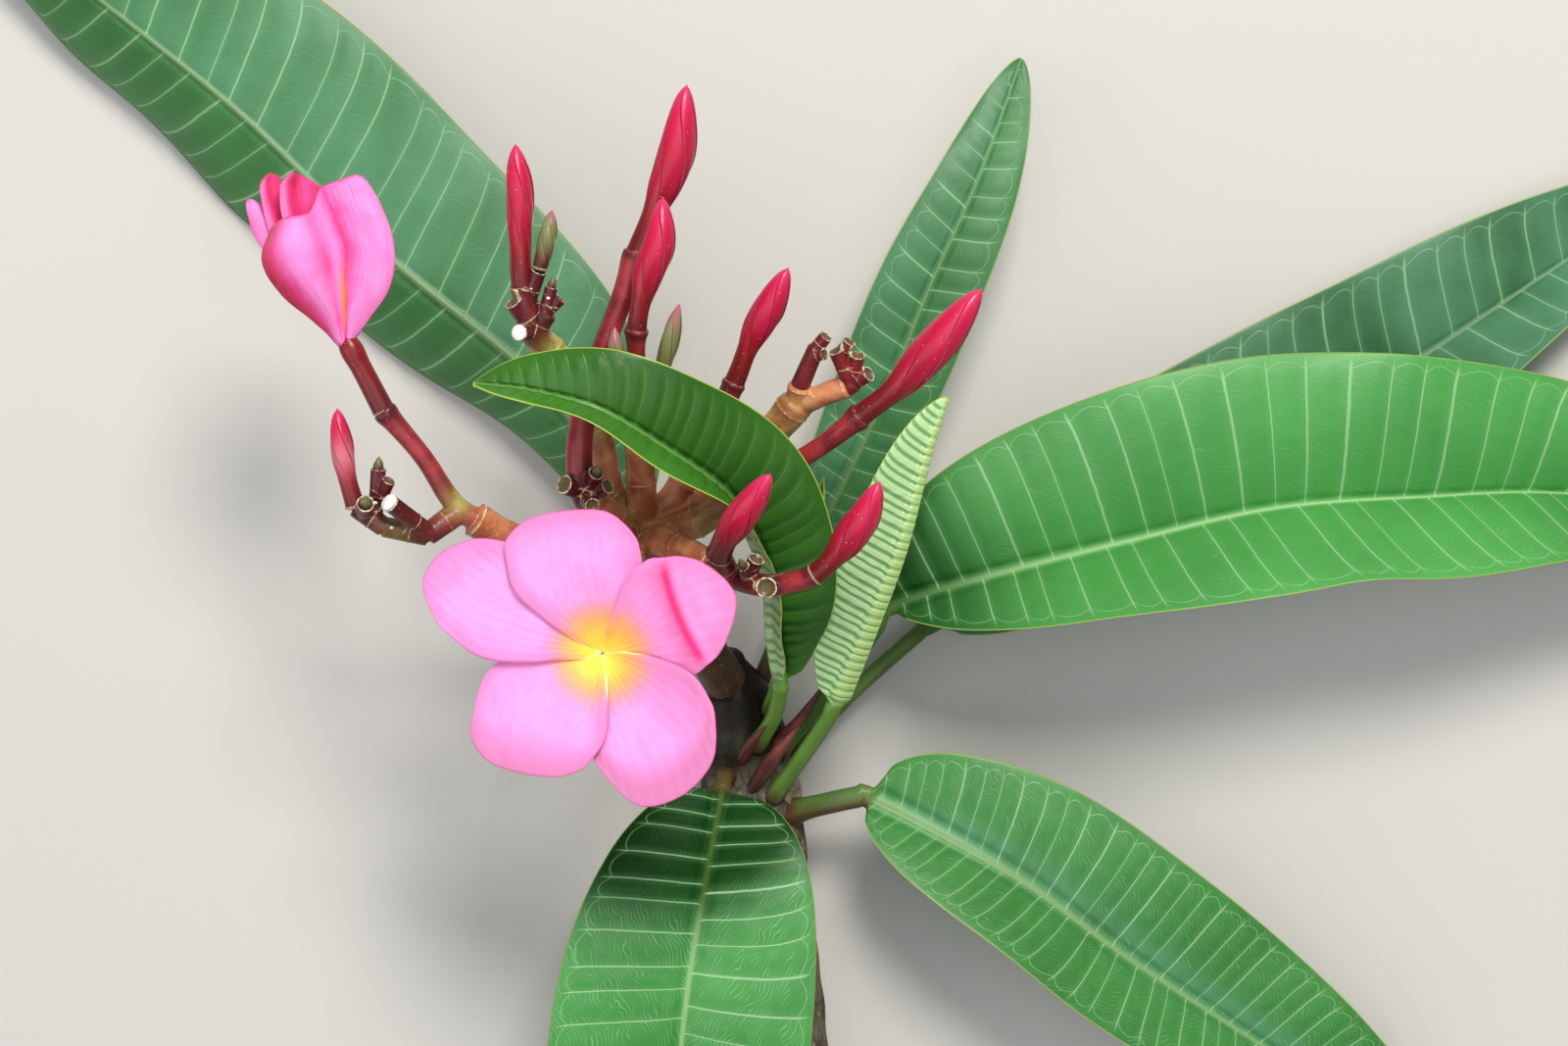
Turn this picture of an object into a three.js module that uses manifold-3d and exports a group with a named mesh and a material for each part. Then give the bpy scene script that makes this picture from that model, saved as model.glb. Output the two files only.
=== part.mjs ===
// A cut plumeria branch tip with its flower cluster, lying on its back on a table. Millimetres, +Z up.
// The thick branch carries eight leaves, one small young leaf and one branching flower stalk. On the stalk's
// rays stand an open flower, one that is just opening, the closed buds and the stubs of dropped flowers.
// +Y runs from the cut end to the flowers. Shapes are laid out round a drafting centre beside the open
// flower; the group then moves them so that the origin is on the table, under the middle of the part.
import * as THREE from "three";
import { mergeVertices } from "three/addons/utils/BufferGeometryUtils.js";
import Module from "manifold-3d";

const wasm = await Module();
wasm.setup();

// ---- driving dimensions ----
const partCentre = [19.85, -31.32]; // middle of the part's outline, seen from the drafting centre
const seatGap = 0.3; // clearance where one piece is seated on another
const branchRadius = 13.4;
const branchSides = 12;
const bladeThickness = 0.8;
const petalThickness = 0.8;
const stalkSides = 8;
const up = new THREE.Vector3(0, 0, 1);

// ---- colours ----
const leafGreen = { color: 0x2f6b35, roughness: 0.5, metalness: 0 };
const youngGreen = { color: 0x5f9a3a, roughness: 0.45, metalness: 0 };
const barkGrey = { color: 0x6b6a55, roughness: 0.8, metalness: 0 };
const stalkOrange = { color: 0xa8683a, roughness: 0.55, metalness: 0 };
const stalkRed = { color: 0x8c1f28, roughness: 0.45, metalness: 0 };
const budCrimson = { color: 0xd0214f, roughness: 0.4, metalness: 0 };
const budGreen = { color: 0x7a6a3c, roughness: 0.5, metalness: 0 };
const petalPink = { color: 0xf588c8, roughness: 0.6, metalness: 0 };

// ---- small tools ----
const radians = THREE.MathUtils.degToRad;
const clamp01 = (x) => Math.min(1, Math.max(0, x));
const smooth = (x) => clamp01(x) ** 2 * (3 - 2 * clamp01(x));
const route = (points) =>
  new THREE.CatmullRomCurve3(
    points.map((p) => new THREE.Vector3(...p)),
    false,
    "catmullrom",
    0.5,
  );

// A value read off a list of [place, value] pairs, straight between them.
function along(pairs, s) {
  if (typeof pairs === "number") return pairs;
  const next = pairs.findIndex(([place]) => place >= s);
  if (next === 0) return pairs[0][1];
  if (next < 0) return pairs[pairs.length - 1][1];
  const [a, b] = [pairs[next - 1], pairs[next]];
  return a[1] + ((b[1] - a[1]) * (s - a[0])) / (b[0] - a[0]);
}

// Joins equal rings of points into a closed body with a flat fan at each end, or a strip between the two
// faces of a thin sheet. The second half of each ring is split along the other diagonal, so that both
// faces of a thin blade fold along the same lines.
function loft(rings, stripEnds = false) {
  const n = rings[0].length;
  const positions = rings.flat().flatMap((p) => [p.x, p.y, p.z]);
  const faces = [];
  for (let i = 0; i + 1 < rings.length; i++)
    for (let j = 0; j < n; j++) {
      const [a, b] = [i * n + j, i * n + ((j + 1) % n)];
      const [c, d] = [a + n, b + n];
      if (j < n / 2) faces.push(a, b, d, a, d, c);
      else faces.push(a, b, c, b, d, c);
    }
  if (stripEnds)
    for (const first of [0, (rings.length - 1) * n])
      for (let j = 0; j < n / 2 - 1; j++) {
        const [a, b, c, d] = [j, j + 1, n - 2 - j, n - 1 - j].map((k) => first + k);
        faces.push(...(first ? [a, b, c, a, c, d] : [b, a, c, c, a, d]));
      }
  for (const end of stripEnds ? [] : [0, rings.length - 1]) {
    const ring = rings[end];
    const middle = ring.reduce((sum, p) => sum.clone().add(p), new THREE.Vector3()).divideScalar(n);
    const centre = positions.length / 3;
    positions.push(middle.x, middle.y, middle.z);
    for (let j = 0; j < n; j++) {
      const [a, b] = [end * n + j, end * n + ((j + 1) % n)];
      faces.push(...(end ? [a, b, centre] : [b, a, centre]));
    }
  }
  const geometry = new THREE.BufferGeometry();
  geometry.setAttribute("position", new THREE.Float32BufferAttribute(positions, 3));
  geometry.setIndex(faces);
  return geometry;
}

// A solid for joining and cutting, with its faces turned outwards.
function solidOf(geometry) {
  const bare = mergeVertices(geometry.clone().deleteAttribute("normal").deleteAttribute("uv"), 1e-4);
  const vertProperties = Float32Array.from(bare.attributes.position.array);
  const triVerts = Uint32Array.from(bare.index.array);
  const made = new wasm.Manifold(new wasm.Mesh({ numProp: 3, vertProperties, triVerts }));
  if (made.volume() > 0) return made;
  for (let i = 0; i < triVerts.length; i += 3)
    [triVerts[i + 1], triVerts[i + 2]] = [triVerts[i + 2], triVerts[i + 1]];
  return new wasm.Manifold(new wasm.Mesh({ numProp: 3, vertProperties, triVerts }));
}

// The largest body of a solid, as a geometry. Scraps that a cut leaves behind are dropped.
function geometryOf(solid) {
  const body = solid.decompose().sort((a, b) => b.volume() - a.volume())[0];
  const mesh = body.getMesh();
  const geometry = new THREE.BufferGeometry();
  geometry.setAttribute("position", new THREE.Float32BufferAttribute(mesh.vertProperties, 3));
  geometry.setIndex(new THREE.Uint32BufferAttribute(mesh.triVerts, 1));
  return geometry;
}
const joined = (geometries) => geometries.map(solidOf).reduce((sum, next) => sum.add(next));

const part = new THREE.Group();
part.position.set(-partCentre[0], -partCentre[1], 0);
function place(name, solid, look) {
  const mesh = new THREE.Mesh(geometryOf(solid), new THREE.MeshStandardMaterial(look));
  mesh.name = name;
  part.add(mesh);
}

// ---- round stalks ----
// Points and frames along a route between two shares of its length. The frame turns as little as it can.
function framesAlong(curve, from, to, count) {
  const frames = [];
  let side = null;
  for (let i = 0; i < count; i++) {
    const u = from + ((to - from) * i) / (count - 1);
    const centre = curve.getPointAt(clamp01(u));
    const forward = curve.getTangentAt(clamp01(u));
    if (!side) {
      const hint = Math.abs(forward.z) > 0.9 ? new THREE.Vector3(0, 1, 0) : up;
      side = new THREE.Vector3().crossVectors(hint, forward);
    }
    side = side.clone().addScaledVector(forward, -side.dot(forward)).normalize();
    frames.push({ centre, forward, side, normal: new THREE.Vector3().crossVectors(forward, side) });
  }
  return frames;
}
const ringPoint = ({ centre, side, normal }, angle, radius) =>
  centre
    .clone()
    .addScaledVector(side, radius * Math.cos(angle))
    .addScaledVector(normal, radius * Math.sin(angle));

// A round stalk on part of a route. Its radius is a list of [share of the stalk's own length, radius].
// A grown stalk is thicker and longer by that much all over, for cutting a seat with clearance.
function stalk(curve, radius, { from = 0, to = 1, sides = stalkSides, count = 7, grow = 0 } = {}) {
  const rings = framesAlong(curve, from, to, count).map((frame, i) => {
    const r = along(radius, i / (count - 1)) + grow;
    if (i === 0) frame.centre.addScaledVector(frame.forward, -grow);
    if (i === count - 1) frame.centre.addScaledVector(frame.forward, grow);
    return Array.from({ length: sides }, (_, j) => ringPoint(frame, (2 * Math.PI * (j + 0.5)) / sides, r));
  });
  return loft(rings);
}
// The share of a curve's length at which it passes its control point number `index`.
function shareAt(curve, index) {
  const t = index / (curve.points.length - 1);
  const lengths = curve.getLengths(200);
  const place = t * 200;
  const low = Math.min(199, Math.floor(place));
  return (lengths[low] + (lengths[low + 1] - lengths[low]) * (place - low)) / lengths[200];
}

// ---- the branch ----
// Its lower stretch lies level, and its underside is cut off flat where it rests on the table.
const branchAxisHeight = branchRadius * Math.cos(Math.PI / branchSides) - 0.15;
const branchRoute = route([
  [4, -195, branchAxisHeight],
  [1, -165, branchAxisHeight],
  [-2, -140, branchAxisHeight],
  [-5, -112, branchAxisHeight],
  [-8, -86, branchAxisHeight + 0.6],
  [-11, -64, 17],
  [-14, -45, 24],
  [-15, -38, 27],
]);
const branchTaper = [
  [0, branchRadius],
  [0.72, branchRadius],
  [0.86, 12.6],
  [0.95, 9.5],
  [1, 4.5],
];
// Leaf scars: [place on the branch, angle round it, size]. They are low on the side that faces up.
const leafScars = [
  [0.1, 62, 4.6],
  [0.2, 118, 4.8],
  [0.31, 40, 4.8],
  [0.38, 92, 5.0],
  [0.48, 140, 5.0],
  [0.55, 58, 5.0],
  [0.63, 104, 5.0],
  [0.71, 30, 4.8],
  [0.76, 150, 4.8],
];
function branchSolid(grow = 0) {
  let solid = solidOf(stalk(branchRoute, branchTaper, { sides: branchSides, count: 15, grow }));
  for (const [share, degrees, size] of leafScars) {
    const [frame] = framesAlong(branchRoute, share, share + 0.001, 2);
    const outwards = ringPoint(frame, radians(degrees), 1).sub(frame.centre);
    const seat = ringPoint(frame, radians(degrees), branchRadius - 0.5);
    const bump = new THREE.SphereGeometry(size + grow, 8, 5);
    bump.scale(1, 1, 0.34);
    bump.applyQuaternion(new THREE.Quaternion().setFromUnitVectors(up, outwards));
    bump.translate(seat.x, seat.y, seat.z);
    solid = solid.add(solidOf(bump));
  }
  return solid.trimByPlane([0, 0, 1], grow ? -1 : 0);
}
place("branch", branchSolid(), barkGrey);
const branchSeat = branchSolid(seatGap);

// ---- leaves ----
// Share of the greatest half-width at s, from the blade's base at 0 to its tip at 1.
function bladeOutline(s, peak, tipPower) {
  const basePower = (tipPower * peak) / (1 - peak);
  const norm = peak ** basePower * (1 - peak) ** tipPower;
  return (s ** basePower * (1 - s) ** tipPower) / norm;
}
// Each leaf is one body: a round stalk that runs on as the keel under a thin blade. A half of the blade
// leaves the midrib at its fold angle and bends by its curl on the way to the edge. Positive rises.
const leaves = {
  leaf_upper_left: {
    stem: [[-15, -52, 16], [-26, -32, 14], [-36, -11, 17]],
    midrib: [[-41, 1, 20], [-66, 37, 25.5], [-110, 74, 26.4], [-148, 111, 26.4], [-191, 146, 25.4], [-238, 184, 20]],
    halfWidth: [34, 40], peak: [0.45, 0.46], tipPower: 0.66, fold: [-34, 8], curl: [-34, -12], wave: [0.8, 3],
    ribRadius: 2.6, roll: 0, look: leafGreen,
  },
  leaf_top: {
    stem: [[-9, -52, 20], [-3, -34, 20], [5, -15, 22]],
    midrib: [[9, -4, 23], [19, 16, 26], [29, 38, 30], [40, 65, 33], [53, 94, 33], [65, 127, 28]],
    halfWidth: [15, 14.5], peak: [0.4, 0.46], tipPower: 0.6, fold: [14, 14], curl: [-16, -16], wave: [0.5, 3],
    ribRadius: 1.9, roll: 0, look: leafGreen,
  },
  leaf_right_back: {
    stem: [[-3, -72, 12], [16, -50, 12], [37, -31, 11]],
    midrib: [[42, -28, 9], [82, -6, 4.8], [137, 22, 2.6], [173, 43, 2.4], [218, 73, 5], [258, 99, 11]],
    halfWidth: [34, 27], peak: [0.4, 0.42], tipPower: 0.66, fold: [26, 44], curl: [-22, -10], wave: [0.8, 3],
    ribRadius: 2.2, roll: 0, look: leafGreen,
  },
  leaf_right: {
    stem: [[-4, -65, 24], [12, -46, 32], [25, -28, 37]],
    midrib: [[28, -23, 38], [53, -15, 42], [92, -5, 45], [132, 4, 44], [172, 7, 40], [213, 8, 33], [278, 1, 20]],
    halfWidth: [44, 34], peak: [0.37, 0.46], tipPower: 0.7, fold: [38, 56], curl: [-44, -14], wave: [1.2, 3],
    ribRadius: 2.5, roll: 0, look: leafGreen,
  },
  leaf_folded: {
    stem: [[-4, -76, 24], [5, -63, 38], [12, -52, 48]],
    midrib: [[13, -49, 50], [21, -30, 60], [30, -7, 70], [37, 18, 76], [42, 33, 78]],
    halfWidth: [13, 15], peak: [0.46, 0.46], tipPower: 0.7, fold: [70, 72], curl: [6, 6], wave: [0, 1],
    ribRadius: 2.9, roll: -90, look: youngGreen,
  },
  leaf_arching: {
    stem: [[-9, -63, 27], [-3, -53, 38], [-1, -45, 48]],
    midrib: [
      [-1, -43, 51], [-3, -30, 60], [-4, -17, 68], [-8, -4, 76], [-15, 8, 85],
      [-30, 19, 95], [-47, 29, 101], [-65, 34, 98], [-80, 36, 91],
    ],
    halfWidth: [15, 22], peak: [0.44, 0.44], tipPower: 0.8,
    fold: [[[0, 100], [0.3, 96], [0.5, 74], [1, 56]], [[0, 30], [0.5, 24], [1, 14]]],
    curl: [10, -22], wave: [0.4, 4], ribRadius: 2.2, roll: 0, look: youngGreen,
  },
  leaf_young: {
    stem: [[-7, -58, 22], [-2, -43, 36], [2, -31, 44]],
    midrib: [[2.5, -29, 46], [5, -15, 52], [8, 0, 57], [10.5, 12, 60]],
    halfWidth: [5, 5], peak: [0.4, 0.4], tipPower: 0.9, fold: [48, 48], curl: [-20, -20], wave: [0, 1],
    ribRadius: 1.4, roll: 0, look: youngGreen,
  },
  leaf_bottom: {
    stem: [[-15, -70, 22], [-16, -68.5, 33], [-16, -68.5, 41]],
    midrib: [[-16.5, -71.5, 47.5], [-21, -96, 54], [-26, -127, 52], [-30, -166, 42], [-33, -208, 26], [-35, -247, 12]],
    halfWidth: [35, 36], peak: [0.36, 0.4], tipPower: 0.68, fold: [20, 20], curl: [-26, -26], wave: [0.8, 3],
    ribRadius: 2.6, roll: 0, look: leafGreen,
  },
  leaf_lower_right: {
    stem: [[-3, -81, 18], [9, -77.5, 25], [20, -75, 27]],
    midrib: [[23, -75, 27], [43, -85, 30], [67, -99, 30], [94, -119, 26], [133, -145, 17], [164, -166, 9], [192, -185, 3]],
    halfWidth: [31, 25], peak: [0.36, 0.37], tipPower: 0.72, fold: [22, 46], curl: [-26, -12], wave: [0.8, 3],
    ribRadius: 3, roll: 0, look: leafGreen,
  },
};

// Frames along a leaf. The side points left of the way to the tip, level, and is then rolled.
function leafFrame(curve, share, roll) {
  const centre = curve.getPointAt(clamp01(share));
  const forward = curve.getTangentAt(clamp01(share));
  const side = new THREE.Vector3().crossVectors(up, forward).normalize();
  side.applyAxisAngle(forward, radians(roll));
  return { centre, forward, side, normal: new THREE.Vector3().crossVectors(forward, side) };
}
// Sideways and upward travel, in half-widths, at share x of the way from midrib to edge.
function halfBladeArc(foldDegrees, curlDegrees, x) {
  const fold = radians(foldDegrees);
  const curl = radians(curlDegrees || 0.01);
  return [
    (Math.sin(fold + curl * x) - Math.sin(fold)) / curl,
    (Math.cos(fold) - Math.cos(fold + curl * x)) / curl,
  ];
}
function leafSolid(leaf) {
  const stemStations = 5;
  const bladeStations = leaf.halfWidth[0] > 8 ? 15 : 9;
  const whole = route([...leaf.stem, ...leaf.midrib]);
  const bladeStart = shareAt(whole, leaf.stem.length);
  const bladeLength = whole.getLength() * (1 - bladeStart);
  const rings = [];
  for (let i = 0; i < stemStations + bladeStations; i++) {
    const onStem = i < stemStations;
    const s = onStem ? 0 : ((i - stemStations) / (bladeStations - 1)) ** 1.15;
    const share = onStem ? (bladeStart * i) / stemStations : bladeStart + (1 - bladeStart) * s;
    const frame = leafFrame(whole, share, leaf.roll * smooth(share / bladeStart));
    const rib = leaf.ribRadius * (onStem ? 1 : 1 - 0.78 * s);
    const opened = onStem ? 0 : smooth(s / 0.06);
    const at = (sideways, upwards) =>
      frame.centre.clone().addScaledVector(frame.side, sideways).addScaledVector(frame.normal, upwards);
    const bladePoint = (t, isTop) => {
      const half = t < 0 ? 1 : 0; // half 0 is the left one
      const reach = Math.max(rib, leaf.halfWidth[half] * bladeOutline(s, leaf.peak[half], leaf.tipPower));
      const fold = along(leaf.fold[half], s);
      const curl = leaf.curl[half];
      const x = Math.abs(t);
      const [across, rise] = halfBladeArc(fold, curl, x);
      const lean = radians(fold + curl * x);
      const [waveHeight, waves] = leaf.wave;
      const wave = waveHeight * x * x * Math.sin((2 * Math.PI * waves * s * bladeLength) / 200 + half * 2);
      const keel = isTop ? 0.25 * rib : -1.6 * rib;
      const skin = (isTop ? 0.5 : -0.5) * bladeThickness;
      const offset = t === 0 ? keel : skin + wave;
      const sign = t < 0 ? -1 : 1;
      return [sign * (reach * across - offset * Math.sin(lean) * (t ? 1 : 0)),
        reach * rise + offset * (t ? Math.cos(lean) : 1)];
    };
    const inner = (half) =>
      clamp01((1.2 * rib) / Math.max(rib * 2.6, leaf.halfWidth[half] * bladeOutline(s, leaf.peak[half], leaf.tipPower)));
    const columns = [1, 0.58, inner(0), 0, -inner(1), -0.58, -1];
    const ring = [];
    for (const isTop of [true, false]) {
      const order = isTop ? columns : [...columns].reverse();
      order.forEach((t, j) => {
        const turn = radians((isTop ? 10 : 190) + (160 * j) / (columns.length - 1));
        const round = [rib * Math.cos(turn), rib * Math.sin(turn)];
        const blade = opened > 0 ? bladePoint(t, isTop) : round;
        ring.push(at(round[0] + (blade[0] - round[0]) * opened, round[1] + (blade[1] - round[1]) * opened));
      });
    }
    rings.push(ring);
  }
  return solidOf(loft(rings)).subtract(branchSeat);
}
for (const [name, leaf] of Object.entries(leaves)) place(name, leafSolid(leaf), leaf.look);

// ---- the flower stalk and what it carries ----
const crown = [-38, -3, 62];
// Each ray is one route from the crown to the tip of its bud. It is cut across at two of its points:
// where the fleshy orange-brown ray ends and the red stalk begins, and at the ring where the bud sits.
const rays = {
  left: {
    points: [crown, [-54, -9, 71], [-70, -4, 81], [-80, 1, 86], [-86, 6, 88], [-93, 17, 90], [-103, 29, 92]],
    cuts: [3, 6], ray: [[0, 4.4], [0.5, 3.9], [1, 4.2]], red: [[0, 2.9], [0.8, 2.6], [1, 3]],
  },
  upper_left: {
    points: [crown, [-45.5, 9, 66], [-48, 21, 69], [-53, 35, 74], [-61, 45, 80], [-65, 50, 84], [-67.5, 61, 88],
      [-68, 72, 89], [-68, 84, 90], [-69, 97, 92]],
    cuts: [4, 6], ray: [[0, 4], [0.4, 3.5], [1, 3.7]], red: [[0, 4], [0.5, 3.6], [1, 3.2]],
    bud: [[0, 2.9], [0.3, 2.9], [0.62, 3.7], [0.85, 3.1], [0.96, 1.5], [1, 0.5]],
  },
  tall: {
    points: [crown, [-44, 1, 71], [-51, 7, 79], [-53, 13, 82], [-52.5, 25, 83], [-48, 42, 83], [-42, 58, 84],
      [-38, 70, 85], [-33, 82, 87], [-28, 94, 90], [-25, 112, 94]],
    cuts: [2, 7], ray: [[0, 4], [1, 4]], red: [[0, 3.8], [0.3, 3.4], [0.9, 3.1], [1, 3.4]],
    bud: [[0, 2.9], [0.22, 2.8], [0.45, 4.6], [0.66, 5.4], [0.85, 4.2], [0.96, 2], [1, 0.5]],
  },
  middle: {
    points: [crown, [-37.5, 9, 70], [-38, 24, 77], [-38, 39, 84], [-38, 50, 89], [-35.5, 62, 93], [-32, 72, 95.5],
      [-31, 83, 97]],
    cuts: [2, 4], ray: [[0, 4.2], [1, 3.7]], red: [[0, 3.1], [0.9, 2.6], [1, 3]],
    bud: [[0, 2.6], [0.2, 2.6], [0.45, 4.3], [0.64, 4.9], [0.85, 3.8], [0.96, 1.7], [1, 0.5]],
  },
  behind: {
    points: [crown, [-28, 9, 64], [-20, 23, 66], [-13, 37, 70], [-9, 47, 73], [-4, 56, 76], [1, 66, 80]],
    cuts: [2, 3], ray: [[0, 3.9], [1, 3.3]], red: [[0, 2.9], [1, 3]],
    bud: [[0, 2.7], [0.3, 2.8], [0.5, 4.2], [0.68, 4.7], [0.86, 3.6], [0.96, 1.7], [1, 0.5]],
  },
  right: {
    points: [crown, [-24, 0, 66], [-12, 7, 69], [0, 14, 73], [11, 21, 77], [20, 28, 81], [28.6, 34.6, 84],
      [39, 45.3, 88], [50.6, 59.8, 92]],
    cuts: [2, 5], ray: [[0, 4.6], [1, 4]], red: [[0, 3.3], [0.9, 3], [1, 3.4]],
    bud: [[0, 3], [0.18, 3], [0.42, 4.9], [0.66, 6.1], [0.85, 4.9], [0.96, 2.3], [1, 0.6]],
  },
  lower_right: {
    points: [crown, [-29, -6, 74], [-18, -11, 88], [-11, -14.5, 95], [-4, -16, 99], [2, -15, 101], [8, -13, 103],
      [14, -7, 105], [20, 1, 108], [24, 10, 112]],
    cuts: [2, 6], ray: [[0, 4.2], [1, 3.7]], red: [[0, 3.6], [0.5, 3], [1, 2.7]],
    bud: [[0, 2.8], [0.2, 2.9], [0.42, 4.4], [0.64, 5], [0.85, 3.9], [0.96, 1.9], [1, 0.5]],
  },
  open_flower: {
    points: [crown, [-40.5, -9, 70], [-43, -17, 79], [-45, -24, 86]],
    cuts: [1, 3], ray: [[0, 4], [1, 3.4]], red: [[0, 2.8], [0.8, 2.6], [1, 3]],
  },
};
for (const ray of Object.values(rays)) {
  ray.curve = route(ray.points);
  ray.length = ray.curve.getLength();
  [ray.redFrom, ray.budFrom] = ray.cuts.map((index) => shareAt(ray.curve, index));
  ray.gap = (1.1 * seatGap) / ray.length;
}

// Main stalk, its rays, and the two short forks that carry only stubs.
const mainStalk = route([[-14, -47, 24], [-23, -31, 40], [-31, -15, 53], crown]);
const stubRay = route([crown, [-26, 4, 61], [-13, 13, 62], [-3, 24, 66], [3, 31, 70]]);
const stubForks = [route([[1, 27, 67], [3, 32, 71], [4.2, 35.8, 73.5]]), route([[2, 30, 69], [10, 33.5, 73], [16.5, 35.7, 75]])];
const flowerStalkSolid = (grow = 0) =>
  joined([
    stalk(mainStalk, [[0, 6.2], [0.6, 5.4], [1, 6]], { count: 8, grow }),
    new THREE.SphereGeometry(6.4 + grow, 8, 6).translate(...crown),
    ...Object.values(rays).map((ray) =>
      stalk(ray.curve, ray.ray, { to: ray.redFrom - ray.gap, count: 5, grow })),
    stalk(stubRay, [[0, 4.4], [0.6, 4.1], [1, 4.4]], { count: 6, grow }),
    ...stubForks.map((fork) => stalk(fork, [[0, 3.4], [1, 2.9]], { count: 3, grow })),
  ]);
place("flower_stalk", flowerStalkSolid().subtract(branchSeat), stalkOrange);
const flowerStalkSeat = flowerStalkSolid(seatGap);

// A short round peg from one point to another, wider or narrower at its end.
const peg = (from, to, r0, r1, grow = 0) =>
  stalk(route([from, to]), [[0, r0], [1, r1]], { sides: 6, count: 2, grow });
// Stubs left where flowers dropped, on the red stalks: [foot, end, radius at foot, radius at end].
const stubs = {
  left: [
    [[-84, 3, 87], [-92, -3, 89], 3.3, 3.0],
    [[-92, -3, 89], [-103, -1, 91], 3.0, 2.7],
    [[-91, -3, 89], [-100.5, 5, 99], 2.4, 2.3],
    [[-103, -1, 91], [-110, 4, 92], 2.7, 2.7],
    [[-105, 2, 92], [-104, 14, 95], 1.9, 1.7],
    [[-108, 3, 92], [-106, 8, 98], 2.0, 2.2],
    [[-104, 6, 93], [-99.5, 12, 97], 1.5, 1.5],
  ],
  upper_left: [
    [[-65, 50, 84], [-70, 57, 89], 2.3, 2.3],
    [[-65, 49, 84], [-68, 49, 90], 2.0, 2.0],
    [[-64, 50, 84], [-61, 54, 86], 2.6, 2.4],
    [[-62, 53, 86], [-60, 61, 88], 2.0, 1.7],
    [[-62, 54, 86], [-57.5, 58, 87], 1.7, 1.6],
    [[-66.3, 57, 87], [-63, 65, 91], 2.2, 2.0],
  ],
  tall: [
    [[-52, 8, 80], [-57, 10, 86], 2.6, 2.5],
    [[-52, 8, 80], [-48.5, 13, 87], 2.2, 2.0],
    [[-51, 7, 80], [-45.5, 9.5, 85], 2.0, 2.0],
    [[-52, 6, 80], [-49.5, 4.5, 87], 1.9, 1.9],
  ],
  lower_right: [
    [[-15, -13, 94], [-16.5, -8.5, 101], 3.4, 3.3],
    [[-10, -15, 96], [-7, -9, 101], 2.0, 2.1],
    [[-9, -15, 97], [-10.5, -11, 102], 1.6, 1.5],
    [[-4, -16, 99], [-4.5, -16.5, 103.5], 2.8, 2.7],
  ],
};
function redStalkSolid(name, grow = 0) {
  const ray = rays[name];
  const count = ray.cuts[1] - ray.cuts[0] > 3 ? 10 : 6;
  return joined([
    stalk(ray.curve, ray.red, { from: ray.redFrom, to: ray.budFrom - ray.gap, count, grow }),
    ...(stubs[name] ?? []).map((stub) => peg(...stub, grow)),
  ]);
}
for (const name of Object.keys(rays))
  place("red_stalk_" + name, redStalkSolid(name).subtract(flowerStalkSeat), stalkRed);
// The dropped flowers' stubs at the ends of the two short forks, each a small knobbed fan.
const forkStubs = {
  red_stubs_fork_upper: [
    [[4.2, 36, 73.6], [8.4, 45.6, 79], 2.6, 2.3],
    [[8, 45, 78.6], [11, 48.6, 81], 1.9, 1.8],
    [[7.6, 43.6, 78], [10.6, 43.8, 80.6], 1.6, 1.5],
  ],
  red_stubs_fork_right: [
    [[16.8, 35.8, 75.1], [18.4, 36.8, 76.6], 2.8, 2.5],
    [[17.5, 36.5, 76], [13.6, 45, 80.5], 2.3, 2.2],
    [[14.3, 43.4, 79.6], [17.1, 47.2, 82], 1.8, 1.8],
    [[18, 36.8, 76.5], [19.2, 43.7, 81.5], 2.0, 1.9],
    [[17.8, 36.6, 76], [22.2, 38.9, 79.5], 2.1, 2.1],
  ],
};
for (const [name, pegs] of Object.entries(forkStubs))
  place(name, joined(pegs.map((p) => peg(...p))).subtract(flowerStalkSeat), stalkRed);

// ---- buds ----
// A closed bud: five petals wound round each other, each ending in an edge that stands a little proud.
function budSolid(curve, radius, { from = 0, to = 1, count = 11, wind = 0.42, step = 0.13 } = {}) {
  const rings = framesAlong(curve, from, to, count).map((frame, i) => {
    const s = i / (count - 1);
    const r = along(radius, s);
    const proud = step * smooth((s - 0.15) / 0.25);
    const ring = [];
    for (let lobe = 0; lobe < 5; lobe++)
      for (const [part5, dip] of [[0, 0], [0.85, proud]])
        ring.push(ringPoint(frame, 2 * Math.PI * ((lobe + part5) / 5 + wind * s), r * (1 - dip)));
    return ring;
  });
  return solidOf(loft(rings));
}
for (const [name, ray] of Object.entries(rays)) {
  if (!ray.bud) continue;
  const solid = budSolid(ray.curve, ray.bud, { from: ray.budFrom });
  place("bud_" + name, solid.subtract(redStalkSolid(name, seatGap)), budCrimson);
}

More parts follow.
